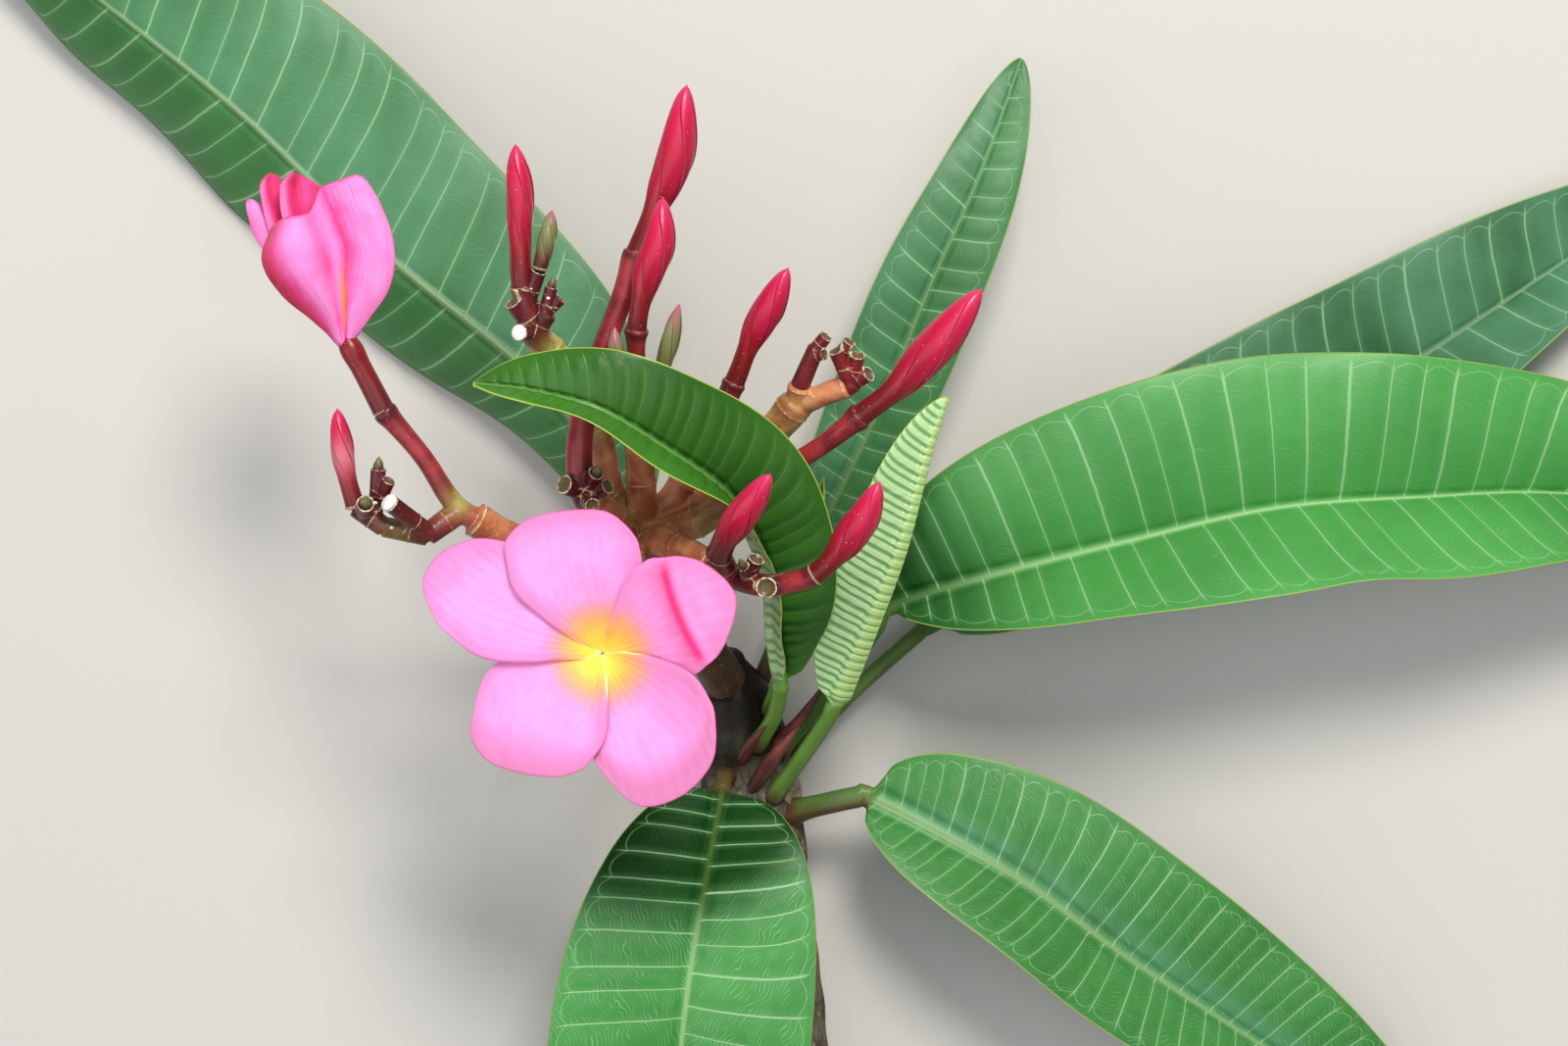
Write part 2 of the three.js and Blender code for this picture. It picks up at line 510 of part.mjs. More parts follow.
// Buds that stand on the side of a stalk: their routes start at the end of a stub or in the stalk.
const sideBuds = {
  bud_lower_left: {
    points: [[-110.2, 4.3, 92.3], [-112.3, 12, 93], [-113.5, 20, 94], [-114.5, 29, 95]], cut: "left",
    radius: [[0, 2.5], [0.3, 2.4], [0.55, 3.1], [0.82, 2.5], [0.96, 1.2], [1, 0.4]], look: budCrimson,
  },
  bud_front: {
    points: [[-16.6, -8.1, 101.6], [-14.5, -3.5, 108], [-10, 2.5, 113], [-3.5, 12, 120]], cut: "lower_right",
    radius: [[0, 3.3], [0.22, 3.2], [0.48, 4.5], [0.64, 4.6], [0.85, 3.4], [0.96, 1.6], [1, 0.5]], look: budCrimson,
  },
  bud_small_left: {
    points: [[-62.8, 65.5, 91.2], [-61.4, 71, 92.2], [-60.4, 75.5, 92.6], [-59.6, 80, 93]], cut: "upper_left",
    radius: [[0, 1.9], [0.4, 2.3], [0.65, 2.3], [0.88, 1.5], [1, 0.4]], look: budGreen,
  },
  bud_small_middle: {
    points: [[-37, 28, 80], [-32.5, 37, 84], [-30, 45, 87], [-27, 56, 91]], cut: "middle",
    radius: [[0, 2], [0.45, 2.1], [0.68, 2.5], [0.88, 1.8], [1, 0.4]], look: budGreen,
  },
  bud_small_front: {
    points: [[-39, 28, 81], [-41.5, 35, 88], [-43, 42, 92], [-43.5, 50, 94]], cut: "middle",
    radius: [[0, 1.6], [0.45, 1.9], [0.7, 2.3], [0.9, 1.6], [1, 0.4]], look: budGreen,
  },
};
for (const [name, bud] of Object.entries(sideBuds)) {
  const solid = budSolid(route(bud.points), bud.radius, { count: 9 });
  place(name, solid.subtract(redStalkSolid(bud.cut, seatGap)), bud.look);
}

// ---- flowers ----
// A petal is a sheet stretched over lines that run from its foot to its outer edge, the first line along
// its left edge and the last along its right one, and given its thickness along its normals.
function petalGeometry(lines, stations = 8) {
  const curves = lines.map(route);
  const grid = [...Array(stations)].map((_, i) => curves.map((curve) => curve.getPointAt(i / (stations - 1))));
  const rings = grid.map((row, i) => {
    const [before, after] = [grid[Math.max(i - 1, 0)], grid[Math.min(i + 1, stations - 1)]];
    const faces = [0.5, -0.5].map((way) =>
      row.map((point, k) => {
        const onward = after[k].clone().sub(before[k]);
        const across = row[Math.max(k - 1, 0)].clone().sub(row[Math.min(k + 1, row.length - 1)]);
        return point.clone().addScaledVector(across.cross(onward).normalize(), way * petalThickness);
      }),
    );
    return [...faces[0], ...faces[1].reverse()];
  });
  return loft(rings, true);
}

// The open flower faces the camera. Its throat is a funnel tilted down to the left: height is read off
// the funnel's profile by distance from the throat, and rises with the tilt, in millimetres for each
// millimetre right and up. A petal's left edge lies over the next petal and its right edge under the one
// before it. Petals: degrees round the throat of the left and of the right edge at each share of the way
// out, and how far out the petal ends on five lines from its left edge to its right one.
const openFlower = {
  foot: [-45.05, -24.25, 86.3],
  throat: [-46.2, -33.2, 104],
  axis: [-0.34, -0.14, 1],
  throatRadius: 1.6,
  tilt: [0.34, 0.14],
  overlap: 1.3,
  funnel: [[0, -9], [1.6, -5], [2.6, -1.8], [4.5, 1], [8.5, 4], [16, 7], [27, 9.4], [48, 11.5]],
  shares: [0, 0.09, 0.21, 0.4, 0.7, 1],
  tubeRadius: [[0, 2.9], [0.5, 2.5], [0.9, 3.2], [1, 2.6]],
  petals: {
    right: {
      left: [104, 88, 80, 74.5, 71, 60], right: [-34, -28, -24, -20, -16, -12], ends: [30, 35, 37.4, 31.8, 26],
    },
    top: {
      left: [172, 158, 152, 149.5, 143, 129], right: [30, 44, 51, 57, 63, 74], ends: [40, 38.6, 37.2, 36.2, 33.4],
    },
    left: {
      left: [212, 196, 188, 187, 181, 167.5], right: [84, 100, 108, 115, 122, 129], ends: [45.7, 49.3, 48.4, 44, 38],
    },
    lowerLeft: {
      left: [300, 286, 280, 277, 271, 259], right: [142, 156, 165, 173, 190, 214], ends: [31.6, 33.7, 36.6, 39.8, 42.6],
    },
    lowerRight: {
      left: [26, 12, 3, -3, -12, -28], right: [-150, -132, -119, -108, -99, -92], ends: [34.4, 39, 40.8, 39.2, 30],
    },
  },
};
function openPetalLines({ throat, throatRadius, tilt, overlap, funnel, shares }, { left, right, ends }) {
  return ends.map((end, k) =>
    shares.map((share, j) => {
      const side = 1 - k / 2; // 1 at the left edge, -1 at the right one
      const out = throatRadius + (end - throatRadius) * share - 0.5 * side * (1 - smooth(share / 0.2));
      const turn = radians(left[j] + ((right[j] - left[j]) * k) / 4);
      const [x, y] = [out * Math.cos(turn), out * Math.sin(turn)];
      const height = along(funnel, out) + tilt[0] * x + tilt[1] * y + overlap * side * smooth(out / 8);
      return [throat[0] + x, throat[1] + y, throat[2] + height];
    }),
  );
}
const away = new THREE.Vector3(...openFlower.axis).normalize();
const [tubeTurn, tubeEnd] = [-13, -4.2].map((by) =>
  new THREE.Vector3(...openFlower.throat).addScaledVector(away, by).toArray(),
);
const openTube = stalk(route([openFlower.foot, tubeTurn, tubeEnd]), openFlower.tubeRadius, { count: 7 });
const openPetals = Object.values(openFlower.petals).map((petal) => petalGeometry(openPetalLines(openFlower, petal)));
place("open_flower", joined([openTube, ...openPetals]).subtract(redStalkSolid("open_flower", seatGap)), petalPink);

// The opening flower is half unrolled: two petals have swung forward on either side of the throat, and
// three still stand behind them. Lines run from each petal's left edge to its right one.
const openingFlower = {
  tube: [[-103.15, 29.3, 92.05], [-107.9, 38.6, 93], [-112.6, 47.6, 94.4]],
  tubeRadius: [[0, 2.9], [0.6, 2.75], [0.9, 2.9], [1, 2.4]],
  petals: {
    frontRight: [
      [[-112.3, 46, 95.8], [-112, 54, 98], [-111, 62, 99.5], [-111, 71, 100], [-116.5, 85.5, 101]],
      [[-111.5, 46.2, 95.6], [-110, 54, 99.5], [-107, 62, 102.5], [-106.5, 72, 103.5], [-112.5, 87.5, 103]],
      [[-110.8, 46.6, 95], [-108, 53.5, 99.5], [-103, 61, 103.5], [-102.5, 73, 105], [-108, 88.5, 103]],
      [[-110.4, 46.8, 94], [-106, 52, 98], [-100, 61, 102], [-99.5, 73, 103], [-104, 84.5, 101.5]],
    ],
    frontLeft: [
      [[-114, 45.2, 94], [-121.3, 51.8, 97.5], [-128.5, 58, 100.5], [-133.3, 67.5, 101.5], [-130, 77.5, 101.5]],
      [[-113.8, 45.2, 95], [-117, 54, 102], [-122, 61, 107], [-126.5, 69, 109], [-126, 77.5, 108]],
      [[-113.4, 45.4, 95.8], [-115, 54.5, 102], [-117.5, 61.5, 106.5], [-120, 69, 108.5], [-122.5, 78, 107.5]],
      [[-113, 45.6, 96], [-114, 54.5, 99.5], [-115, 62, 101.5], [-116.5, 70.5, 102.5], [-120.5, 79.5, 103.5]],
      [[-112.6, 45.8, 96], [-112.5, 54.5, 98], [-113, 62, 99.5], [-114, 72, 101], [-119, 84.5, 102]],
      [[-112.2, 46, 95.6], [-111.5, 55, 96], [-110.5, 62, 96.5], [-111, 72, 97.5], [-115.5, 86.5, 99]],
    ],
    backRight: [
      [[-113.2, 46, 92.6], [-121, 61, 94], [-127, 75, 98], [-128.5, 85.5, 101], [-126.5, 90, 100.5]],
      [[-112.2, 46.2, 92.2], [-116.5, 61.5, 92], [-121.5, 75, 93], [-124, 85.5, 95.5], [-123.5, 89, 96.5]],
      [[-111, 46.8, 92.8], [-110.5, 61, 94], [-111.5, 75, 95.5], [-114.5, 83.5, 97], [-118, 86, 97]],
    ],
    backLeft: [
      [[-113.8, 45.6, 93.2], [-124.5, 61, 94.5], [-131.5, 75, 97.5], [-134, 85.5, 99.5], [-132.5, 89, 99]],
      [[-113.2, 45.8, 92.6], [-122.5, 61.5, 92.5], [-128.5, 75, 94], [-131.5, 86, 95.5], [-131, 89.5, 96]],
      [[-112.4, 46, 92.3], [-120, 61.5, 91.5], [-125.5, 75, 92], [-128.5, 85, 93.5], [-128.5, 88.5, 94.5]],
    ],
    farLeft: [
      [[-114, 45.4, 93.8], [-126, 59, 92.5], [-135, 72, 93.5], [-137.5, 78.5, 95], [-138.5, 82, 95.5]],
      [[-113.8, 45.4, 93.6], [-123.5, 61, 94.5], [-131, 73.5, 95.5], [-134.5, 79, 97], [-136.5, 83, 96.5]],
      [[-113.4, 45.6, 93], [-121.5, 64, 93], [-128.5, 76, 93.5], [-131, 79.5, 94.5], [-134, 81, 95]],
    ],
  },
};
const openingTube = stalk(route(openingFlower.tube), openingFlower.tubeRadius, { count: 7 });
const openingPetals = Object.values(openingFlower.petals).map((lines) => petalGeometry(lines));
const openingSolid = joined([openingTube, ...openingPetals]);
place("opening_flower", openingSolid.subtract(redStalkSolid("left", seatGap)), petalPink);

export default part;
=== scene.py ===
import functools

import bpy
import numpy as np
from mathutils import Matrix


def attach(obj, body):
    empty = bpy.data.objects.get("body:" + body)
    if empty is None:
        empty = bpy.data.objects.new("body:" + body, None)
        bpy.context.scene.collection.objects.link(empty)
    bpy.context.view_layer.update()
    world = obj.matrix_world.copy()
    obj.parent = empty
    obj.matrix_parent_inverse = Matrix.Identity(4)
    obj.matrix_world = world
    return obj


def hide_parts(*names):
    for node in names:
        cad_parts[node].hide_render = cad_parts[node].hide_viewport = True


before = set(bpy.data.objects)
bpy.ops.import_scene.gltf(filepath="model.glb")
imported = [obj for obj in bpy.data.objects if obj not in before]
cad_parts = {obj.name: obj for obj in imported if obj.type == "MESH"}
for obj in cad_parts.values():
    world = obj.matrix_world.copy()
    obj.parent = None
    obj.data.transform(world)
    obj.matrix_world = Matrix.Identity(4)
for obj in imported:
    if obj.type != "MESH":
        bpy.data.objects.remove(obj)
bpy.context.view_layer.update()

# A cut plumeria tip with its flower cluster, lying on its back. Shapes are worked out in millimetres
# round a drafting centre beside the open flower, as in the part, and moved into the frame at the end.
mm = 0.001
partCentre = np.array([19.85, -31.32, 0])
up = np.array([0, 0, 1.0])


def toFrame(points):  # drafting millimetres to metres in the frame: a thousandth of point - centre
    return (np.asarray(points, float) - partCentre) * mm


def smooth(x):  # 0 before 0, 1 after 1, and 3x^2 - 2x^3 between
    x = np.clip(x, 0, 1)
    return x * x * (3 - 2 * x)


def bell(x, width):  # 1 in the middle, falling off with the square of the distance over the width
    return np.exp(-((x / width) ** 2))


def unit(v):  # a vector over its own length
    return v / np.maximum(np.linalg.norm(v, axis=-1, keepdims=True), 1e-9)


# A value read off a list of [place, value] pairs, on cubics whose slopes are those of the pairs' own line.
def along(pairs, s):
    s = np.asarray(s, float)
    if np.isscalar(pairs):
        return np.full(s.shape, float(pairs))
    place, value = np.array(pairs, float).T
    slope = np.gradient(value, place)
    k = np.clip(np.searchsorted(place, s) - 1, 0, len(place) - 2)
    step = place[k + 1] - place[k]
    t = np.clip((s - place[k]) / step, 0, 1)
    return (
        (2 * t**3 - 3 * t**2 + 1) * value[k] + (t**3 - 2 * t**2 + t) * step * slope[k]
        + (3 * t**2 - 2 * t**3) * value[k + 1] + (t**3 - t**2) * step * slope[k + 1]
    )


# A line through points: each span is a cubic whose slope at a point is half the step past it.
def routeOf(points, steps=48):
    p = np.array(points, float)
    p = np.vstack([2 * p[0] - p[1], p, 2 * p[-1] - p[-2]])
    t = np.linspace(0, 1, steps, endpoint=False)[:, None]
    a, b, c, d = (p[k : len(p) - 3 + k, None] for k in range(4))
    spans = (
        (2 * t**3 - 3 * t**2 + 1) * b + (t**3 - 2 * t**2 + t) * (c - a) / 2
        + (3 * t**2 - 2 * t**3) * c + (t**3 - t**2) * (d - b) / 2
    )
    line = np.vstack([spans.reshape(-1, 3), p[-2]])
    walked = np.r_[0, np.cumsum(np.linalg.norm(np.diff(line, axis=0), axis=1))]
    return {"line": line, "walked": walked, "length": walked[-1], "steps": steps}


def shareAt(route, index):  # share of the route's length at its point number index
    return route["walked"][index * route["steps"]] / route["length"]


def pointsAt(route, shares):  # points on the line, read off by the length walked so far
    place = np.asarray(shares) * route["length"]
    return np.stack([np.interp(place, route["walked"], axis) for axis in route["line"].T], -1)


# Centre, way on, level side to the left of it, and the normal over both, at shares of a route.
def framesAt(route, shares):
    shares, near = np.asarray(shares, float), 0.004
    ahead = pointsAt(route, np.minimum(shares + near, 1))
    forward = unit(ahead - pointsAt(route, np.maximum(shares - near, 0)))
    side = unit(np.cross(up, forward))
    return pointsAt(route, shares), forward, side, np.cross(forward, side)


# Ways out from a route, a ring of them at each frame: side x cos of the turn + normal x sin of the turn.
def waysOut(side, normal, turn):
    return side[:, None] * np.cos(turn)[..., None] + normal[:, None] * np.sin(turn)[..., None]


# A closed shell from rings of points, with faces turned outwards. A flat fan closes each end, or, in a
# thin sheet, a strip between its two faces. Values are one number per ring point; the plan is two.
def loft(rings, values=None, plan=None, material=0, strip=False):
    n, m = rings.shape[:2]
    i, j = np.meshgrid(np.arange(n - 1), np.arange(m), indexing="ij")
    a, b = (i * m + j).ravel(), (i * m + (j + 1) % m).ravel()
    quads = np.stack([a, b, b + m, a + m], 1)
    last = (n - 1) * m
    if strip:
        k = np.arange(1, m // 2 - 1)
        rungs = np.stack([k, k + 1, m - k - 1, m - k], 1)
        tips = np.array([[0, 1, m - 1], [m // 2 - 1, m // 2, m // 2 + 1]])
        quads, fan = np.vstack([quads, rungs[:, ::-1], rungs + last]), np.vstack([tips[:, ::-1], tips + last])
        capped = lambda grid: grid.reshape(n * m, -1)
    else:
        here, beside = np.arange(m), (np.arange(m) + 1) % m
        fan = np.vstack([
            np.stack([beside, here, np.full(m, n * m)], 1),
            np.stack([here + last, beside + last, np.full(m, n * m + 1)], 1),
        ])
        capped = lambda grid: np.concatenate([grid.reshape(n * m, -1), grid[:1].mean(1), grid[-1:].mean(1)])
    points = capped(rings)
    corners = points[np.vstack([quads[:, [0, 1, 2]], quads[:, [0, 2, 3]], fan])]
    if np.einsum("ij,ij->", corners[:, 0], np.cross(corners[:, 1], corners[:, 2])) < 0:
        quads, fan = quads[:, ::-1], fan[:, ::-1]
    onPoints = lambda grid: capped(np.broadcast_to(grid, (n, m))[..., None])[:, 0]
    values = {name: onPoints(grid) for name, grid in (values or {}).items()}
    flat = capped(np.zeros((n, m, 2)) if plan is None else plan)
    return {"points": points, "faces": [quads, fan], "values": values, "plan": flat, "material": material}


# One mesh object from several shells. Every value becomes an attribute, 0 on shells that lack it.
def pieceFrom(name, shells, materials=()):
    starts = np.cumsum([0] + [len(shell["points"]) for shell in shells])
    points = np.vstack([shell["points"] for shell in shells])
    faces = [face + start for shell, start in zip(shells, starts) for face in shell["faces"]]
    corners = np.concatenate([face.ravel() for face in faces])
    sizes = np.concatenate([np.full(len(face), face.shape[1]) for face in faces])
    mesh = bpy.data.meshes.new(name)
    mesh.vertices.add(len(points))
    mesh.vertices.foreach_set("co", toFrame(points).ravel())
    mesh.loops.add(len(corners))
    mesh.loops.foreach_set("vertex_index", corners.astype(np.int32))
    mesh.polygons.add(len(sizes))
    mesh.polygons.foreach_set("loop_start", np.r_[0, np.cumsum(sizes)[:-1]].astype(np.int32))
    slots = [np.full(sum(len(f) for f in shell["faces"]), shell.get("material", 0)) for shell in shells]
    mesh.polygons.foreach_set("material_index", np.concatenate(slots).astype(np.int32))
    mesh.update(calc_edges=True)
    mesh.shade_smooth()
    for value in sorted({key for shell in shells for key in shell["values"]}):
        numbers = [shell["values"].get(value, np.zeros(len(shell["points"]))) for shell in shells]
        attribute = mesh.attributes.new(value, "FLOAT", "POINT")
        attribute.data.foreach_set("value", np.concatenate(numbers).astype(np.float32))
    if all("plan" in shell for shell in shells):
        plan = np.vstack([shell["plan"] for shell in shells])
        layer = mesh.uv_layers.new(name="plan")
        layer.uv.foreach_set("vector", plan[corners].astype(np.float32).ravel())
    for material in materials:
        mesh.materials.append(material)
    piece = bpy.data.objects.new(name, mesh)
    bpy.context.scene.collection.objects.link(piece)
    return piece


# Overlapping shells melted into one skin: voxels of one size in millimetres, then a light smoothing.
def meltedSkin(shells, voxel, smoothing):
    rough = pieceFrom("rough", shells)
    melt = rough.modifiers.new("melt", "REMESH")
    melt.mode, melt.voxel_size = "VOXEL", voxel * mm
    relax = rough.modifiers.new("relax", "SMOOTH")
    relax.factor, relax.iterations = 0.5, smoothing
    solved = rough.evaluated_get(bpy.context.evaluated_depsgraph_get())
    mesh = bpy.data.meshes.new_from_object(solved)
    points, normals = np.zeros((2, len(mesh.vertices) * 3), np.float32)
    quads = np.zeros(len(mesh.loops), np.int32)
    mesh.vertices.foreach_get("co", points)
    mesh.vertices.foreach_get("normal", normals)
    mesh.loops.foreach_get("vertex_index", quads)
    bpy.data.objects.remove(rough)
    bpy.data.meshes.remove(mesh)
    return points.reshape(-1, 3) / mm + partCentre, normals.reshape(-1, 3), quads.reshape(-1, 4)


# A round stalk: rings about a route from one share to another, radius read off pairs, ends domed.
def tubeShell(route, radius, start=0.0, end=1.0, sides=24, count=40, dome=(0.4, 0.4), swell=(), values=None):
    q = np.linspace(0, 1, count)
    lift = np.radians([4, 25, 45, 65, 80])
    domed = np.ones(len(lift))
    shares = np.r_[start * domed, start + (end - start) * q, end * domed]
    own = np.r_[0 * domed, q, domed]
    r = along(radius, own)
    for place, width, height in swell:  # knots on the stalk, by share of its own length
        r = r * (1 + height * bell(own - place, width))
    shrink = np.r_[np.sin(lift), np.ones(count), np.sin(lift[::-1])]
    slide = np.r_[-dome[0] * np.cos(lift), np.zeros(count), dome[1] * np.cos(lift[::-1])]
    centre, forward, side, normal = framesAt(route, shares)
    turn = np.linspace(0, 2 * np.pi, sides, endpoint=False)
    rings = (centre + forward * (slide * r)[:, None])[:, None]
    rings = rings + waysOut(side, normal, turn) * (r * shrink)[:, None, None]
    grids = {name: np.repeat(np.interp(own, *np.array(pairs, float).T)[:, None], sides, 1)
             for name, pairs in (values or {}).items()}
    plan = np.stack(np.broadcast_arrays(turn * 2.5, (own * route["length"] * (end - start))[:, None]), -1)
    return loft(rings, grids, plan)


def linear(colour):  # an sRGB hex colour as linear light
    c = np.array([int(colour[k : k + 2], 16) for k in (1, 3, 5)]) / 255
    return (*np.where(c <= 0.04045, c / 12.92, ((c + 0.055) / 1.055) ** 2.4), 1.0)


# Adds a node with its settings and its inputs, in order or by name. An input that is another node's
# output is linked, and None is left as it is. Stops are a ramp's [place, colour] pairs. It hands back
# the output asked for.
def addNode(tree, kind, *inputs, sockets=None, out=0, stops=(), **settings):
    node = tree.nodes.new("ShaderNode" + kind)
    for key, value in settings.items():
        setattr(node, key, value)
    for key, value in [*enumerate(inputs), *(sockets or {}).items()]:
        if isinstance(value, bpy.types.NodeSocket):
            tree.links.new(value, node.inputs[key])
        elif value is not None:
            node.inputs[key].default_value = linear(value) if isinstance(value, str) else value
    for k, (place, colour) in enumerate(stops):
        elements = node.color_ramp.elements
        element = elements[k] if k < 2 else elements.new(place)
        element.position, element.color = place, linear(colour)
    return node.outputs[out] if node.outputs else node


# A material whose nodes are added by one function, which hands back the shader's sockets.
def materialOf(name, build, look):
    material = bpy.data.materials.new(name)
    material.use_nodes = True
    material.node_tree.nodes.clear()
    add = functools.partial(addNode, material.node_tree)
    add("OutputMaterial", add("BsdfPrincipled", sockets=build(add, look)))
    return material


# Settings shared by many nodes. Scaled is the first x the second + the third.
product, sumOf, largest, scaled = (
    {"operation": kind} for kind in ("MULTIPLY", "ADD", "MAXIMUM", "MULTIPLY_ADD")
)
soft = {"interpolation_type": "SMOOTHSTEP"}  # 0 at a range's first number, 1 at its second
toEdge = {"feature": "DISTANCE_TO_EDGE"}


# Plumeria blade: a thick waxen cuticle gives a broad soft gloss, thin paler veins leave the midrib nearly
# square and join in loops before the edge, and fine broken veinlets fill the space between. Painted
# shade darkens parts of some blades, and a painted bluish sheen stands for reflected light on others.
def leafNodes(add, look):
    edge, rib, under, stalk, flush, tone, net, wax = (
        add("Attribute", attribute_name=name, out="Fac")
        for name in ("edgeMm", "ribShare", "under", "stalk", "flush", "tone", "net", "wax")
    )
    plan = add("UVMap", uv_map="plan")
    body = add("TexCoord", out="Object")
    broad = add("TexNoise", body, None, 30.0, 3.0)
    drift = add("TexNoise", body, None, 260.0, 2.0)
    speckle = add("TexNoise", body, None, 1500.0, 2.0)
    wander = add("Math", drift, 0.035, add("SeparateXYZ", plan), **scaled)
    fromVein = add("Math", wander, 0.5, operation="PINGPONG")  # 0 on a vein, 0.5 half-way to the next
    onVein = add("Math", fromVein, -2.0, 1.0, **scaled)
    loopAt = add("Math", add("Math", onVein, onVein, **product), 2.2, 2.3, **scaled)
    toLoop = add("Math", add("Math", edge, loopAt, operation="SUBTRACT"), operation="ABSOLUTE")
    loop = add("MapRange", toLoop, 0.3, 0.0, **soft)
    fading = add("MapRange", edge, 0.4, 4.5, **soft)
    lateral = add("Math", add("MapRange", fromVein, look["veinWidth"], 0.0, **soft), fading, **product)
    halo = add("Math", add("MapRange", fromVein, 0.3, 0.0, **soft), fading, **product)
    patch = add("TexNoise", plan, None, 0.35, 1.0)
    inMm = add("Mapping", plan, None, None, (8.0, 1, 1))
    bend = add("TexNoise", inMm, None, 0.14, 2.0)
    outward = add("Math", add("SeparateXYZ", plan, out=1), operation="ABSOLUTE")
    slanted = add("Math", add("SeparateXYZ", plan), 4.5, outward, **scaled)
    strands = add("Math", bend, 5.0, add("Math", slanted, 0.8, **product), **scaled)
    strand = add("MapRange", add("Math", strands, 0.5, operation="PINGPONG"), 0.14, 0.0, **soft)
    broken = add("MapRange", add("TexNoise", inMm, None, 0.22, 1.0), 0.36, 0.62, **soft)
    strand = add("Math", strand, add("Math", broken, patch, **product), **product)
    strand = add("Math", strand, add("MapRange", tone, 0.0, 0.6, 0.12, 1.0), **product)
    strand = add("Math", strand, net, **product)
    main = add("Math", lateral, add("Math", loop, look["loops"], **product), **largest)
    veins = add("Math", main, add("Math", strand, 1.6, **product), **largest)
    # Painted shade: the blade runs from its shade green to its lit green as tone and shade rise, with a
    # little random change.
    lit = add("Math", tone, add("MapRange", broad, 0.3, 0.7, -0.11, 0.11), **sumOf)
    lamina = add("MixRGB", lit, look["shade"], look["blade"])
    lamina = add("MixRGB", add("Math", halo, 0.16, **product), lamina, look["halo"])
    # Painted sheen: a patchy bluish-grey reflection of the lamps mixed into the blade.
    sheenShare = add("Math", wax, add("MapRange", broad, 0.3, 0.6, 0.3, 0.8), **product)
    lamina = add("MixRGB", sheenShare, lamina, look["wax"])
    showing = add("Math", net, 0.35, look["veinShow"], **scaled)
    lamina = add("MixRGB", add("Math", veins, showing, **product), lamina, look["vein"])
    # Painted shade: the midrib darkens with the blade where the blade lies in painted shade.
    midrib = add("MixRGB", tone, look["midribShade"], look["midrib"])
    upper = add("MixRGB", add("MapRange", rib, 0.8, 0.15, 0.0, look["ribShow"], **soft), lamina, midrib)
    # Underside ribs: their own paler colour widened by painted highlight, with painted shade in the thin
    # grooves between them.
    ridge = add("MapRange", fromVein, 0.48, 0.15, **soft)
    back = add("MixRGB", ridge, look["back"], look["backVein"])
    back = add("MixRGB", add("MapRange", rib, 1.05, 0.8, **soft), back, look["backRib"])
    colour = add("MixRGB", under, upper, back)
    margin = add("MapRange", edge, look["marginMm"], look["marginMm"] * 0.3, **soft)
    colour = add("MixRGB", margin, colour, look["margin"])
    stem = add("MixRGB", add("MapRange", broad, 0.35, 0.65, **soft), look["stem"], look["stemPale"])
    # The stem's flush colour, which also serves as painted shade at the stem's foot.
    colour = add("MixRGB", stalk, colour, add("MixRGB", flush, stem, look["stemFlush"]))
    grain = add("Math", speckle, 0.3, **product)
    raised = add("Math", add("Math", under, ridge, **product), 2.5, grain, **scaled)
    height = add("Math", main, -0.8, add("Math", strand, 0.3, raised, **scaled), **scaled)
    height = add("Math", height, add("Math", stalk, -0.95, 1.0, **scaled), **product)
    relief = add("Bump", sockets={"Height": height, "Strength": look["relief"], "Distance": 0.0003})
    gloss = add("MapRange", broad, 0.0, 1.0, look["gloss"] - 0.06, look["gloss"] + 0.08)
    shine = add("MapRange", tone, 0.0, 0.5, 0.06, look["shine"])
    return {"Base Color": colour, "Roughness": gloss, "Normal": relief, "IOR": 1.45,
            "Specular IOR Level": shine, "Subsurface Weight": 0.05, "Subsurface Scale": 0.002}


matureLeaf = materialOf("matureLeafBlade", leafNodes, {
    "shade": "#10380f", "blade": "#479846", "halo": "#64a060", "vein": "#b2d9ab", "veinWidth": 0.045,
    "veinShow": 0.34, "loops": 0.5, "midrib": "#9cc486", "midribShade": "#3c5a1e", "ribShow": 0.75,
    "wax": "#6b9a8a", "margin": "#93ad4c", "marginMm": 0.4, "back": "#6a9563", "backVein": "#86ab7d",
    "backRib": "#a3bf80", "stem": "#44622a", "stemPale": "#577634", "stemFlush": "#563022", "relief": 0.4,
    "gloss": 0.42, "shine": 0.45,
})
youngLeaf = materialOf("youngLeafBlade", leafNodes, {
    "shade": "#1a4210", "blade": "#4b8a2c", "halo": "#4f8a34", "vein": "#8fc070", "veinWidth": 0.04,
    "veinShow": 0.14, "loops": 0.1, "midrib": "#7fb058", "midribShade": "#5c8c3c", "ribShow": 0.7,
    "wax": "#6b9a8a", "margin": "#9fb94a", "marginMm": 0.42, "back": "#6c9c5a", "backVein": "#b0d398",
    "backRib": "#a6c77a", "stem": "#55802c", "stemPale": "#6b983c", "stemFlush": "#54402a", "relief": 0.5,
    "gloss": 0.3, "shine": 0.5,
})


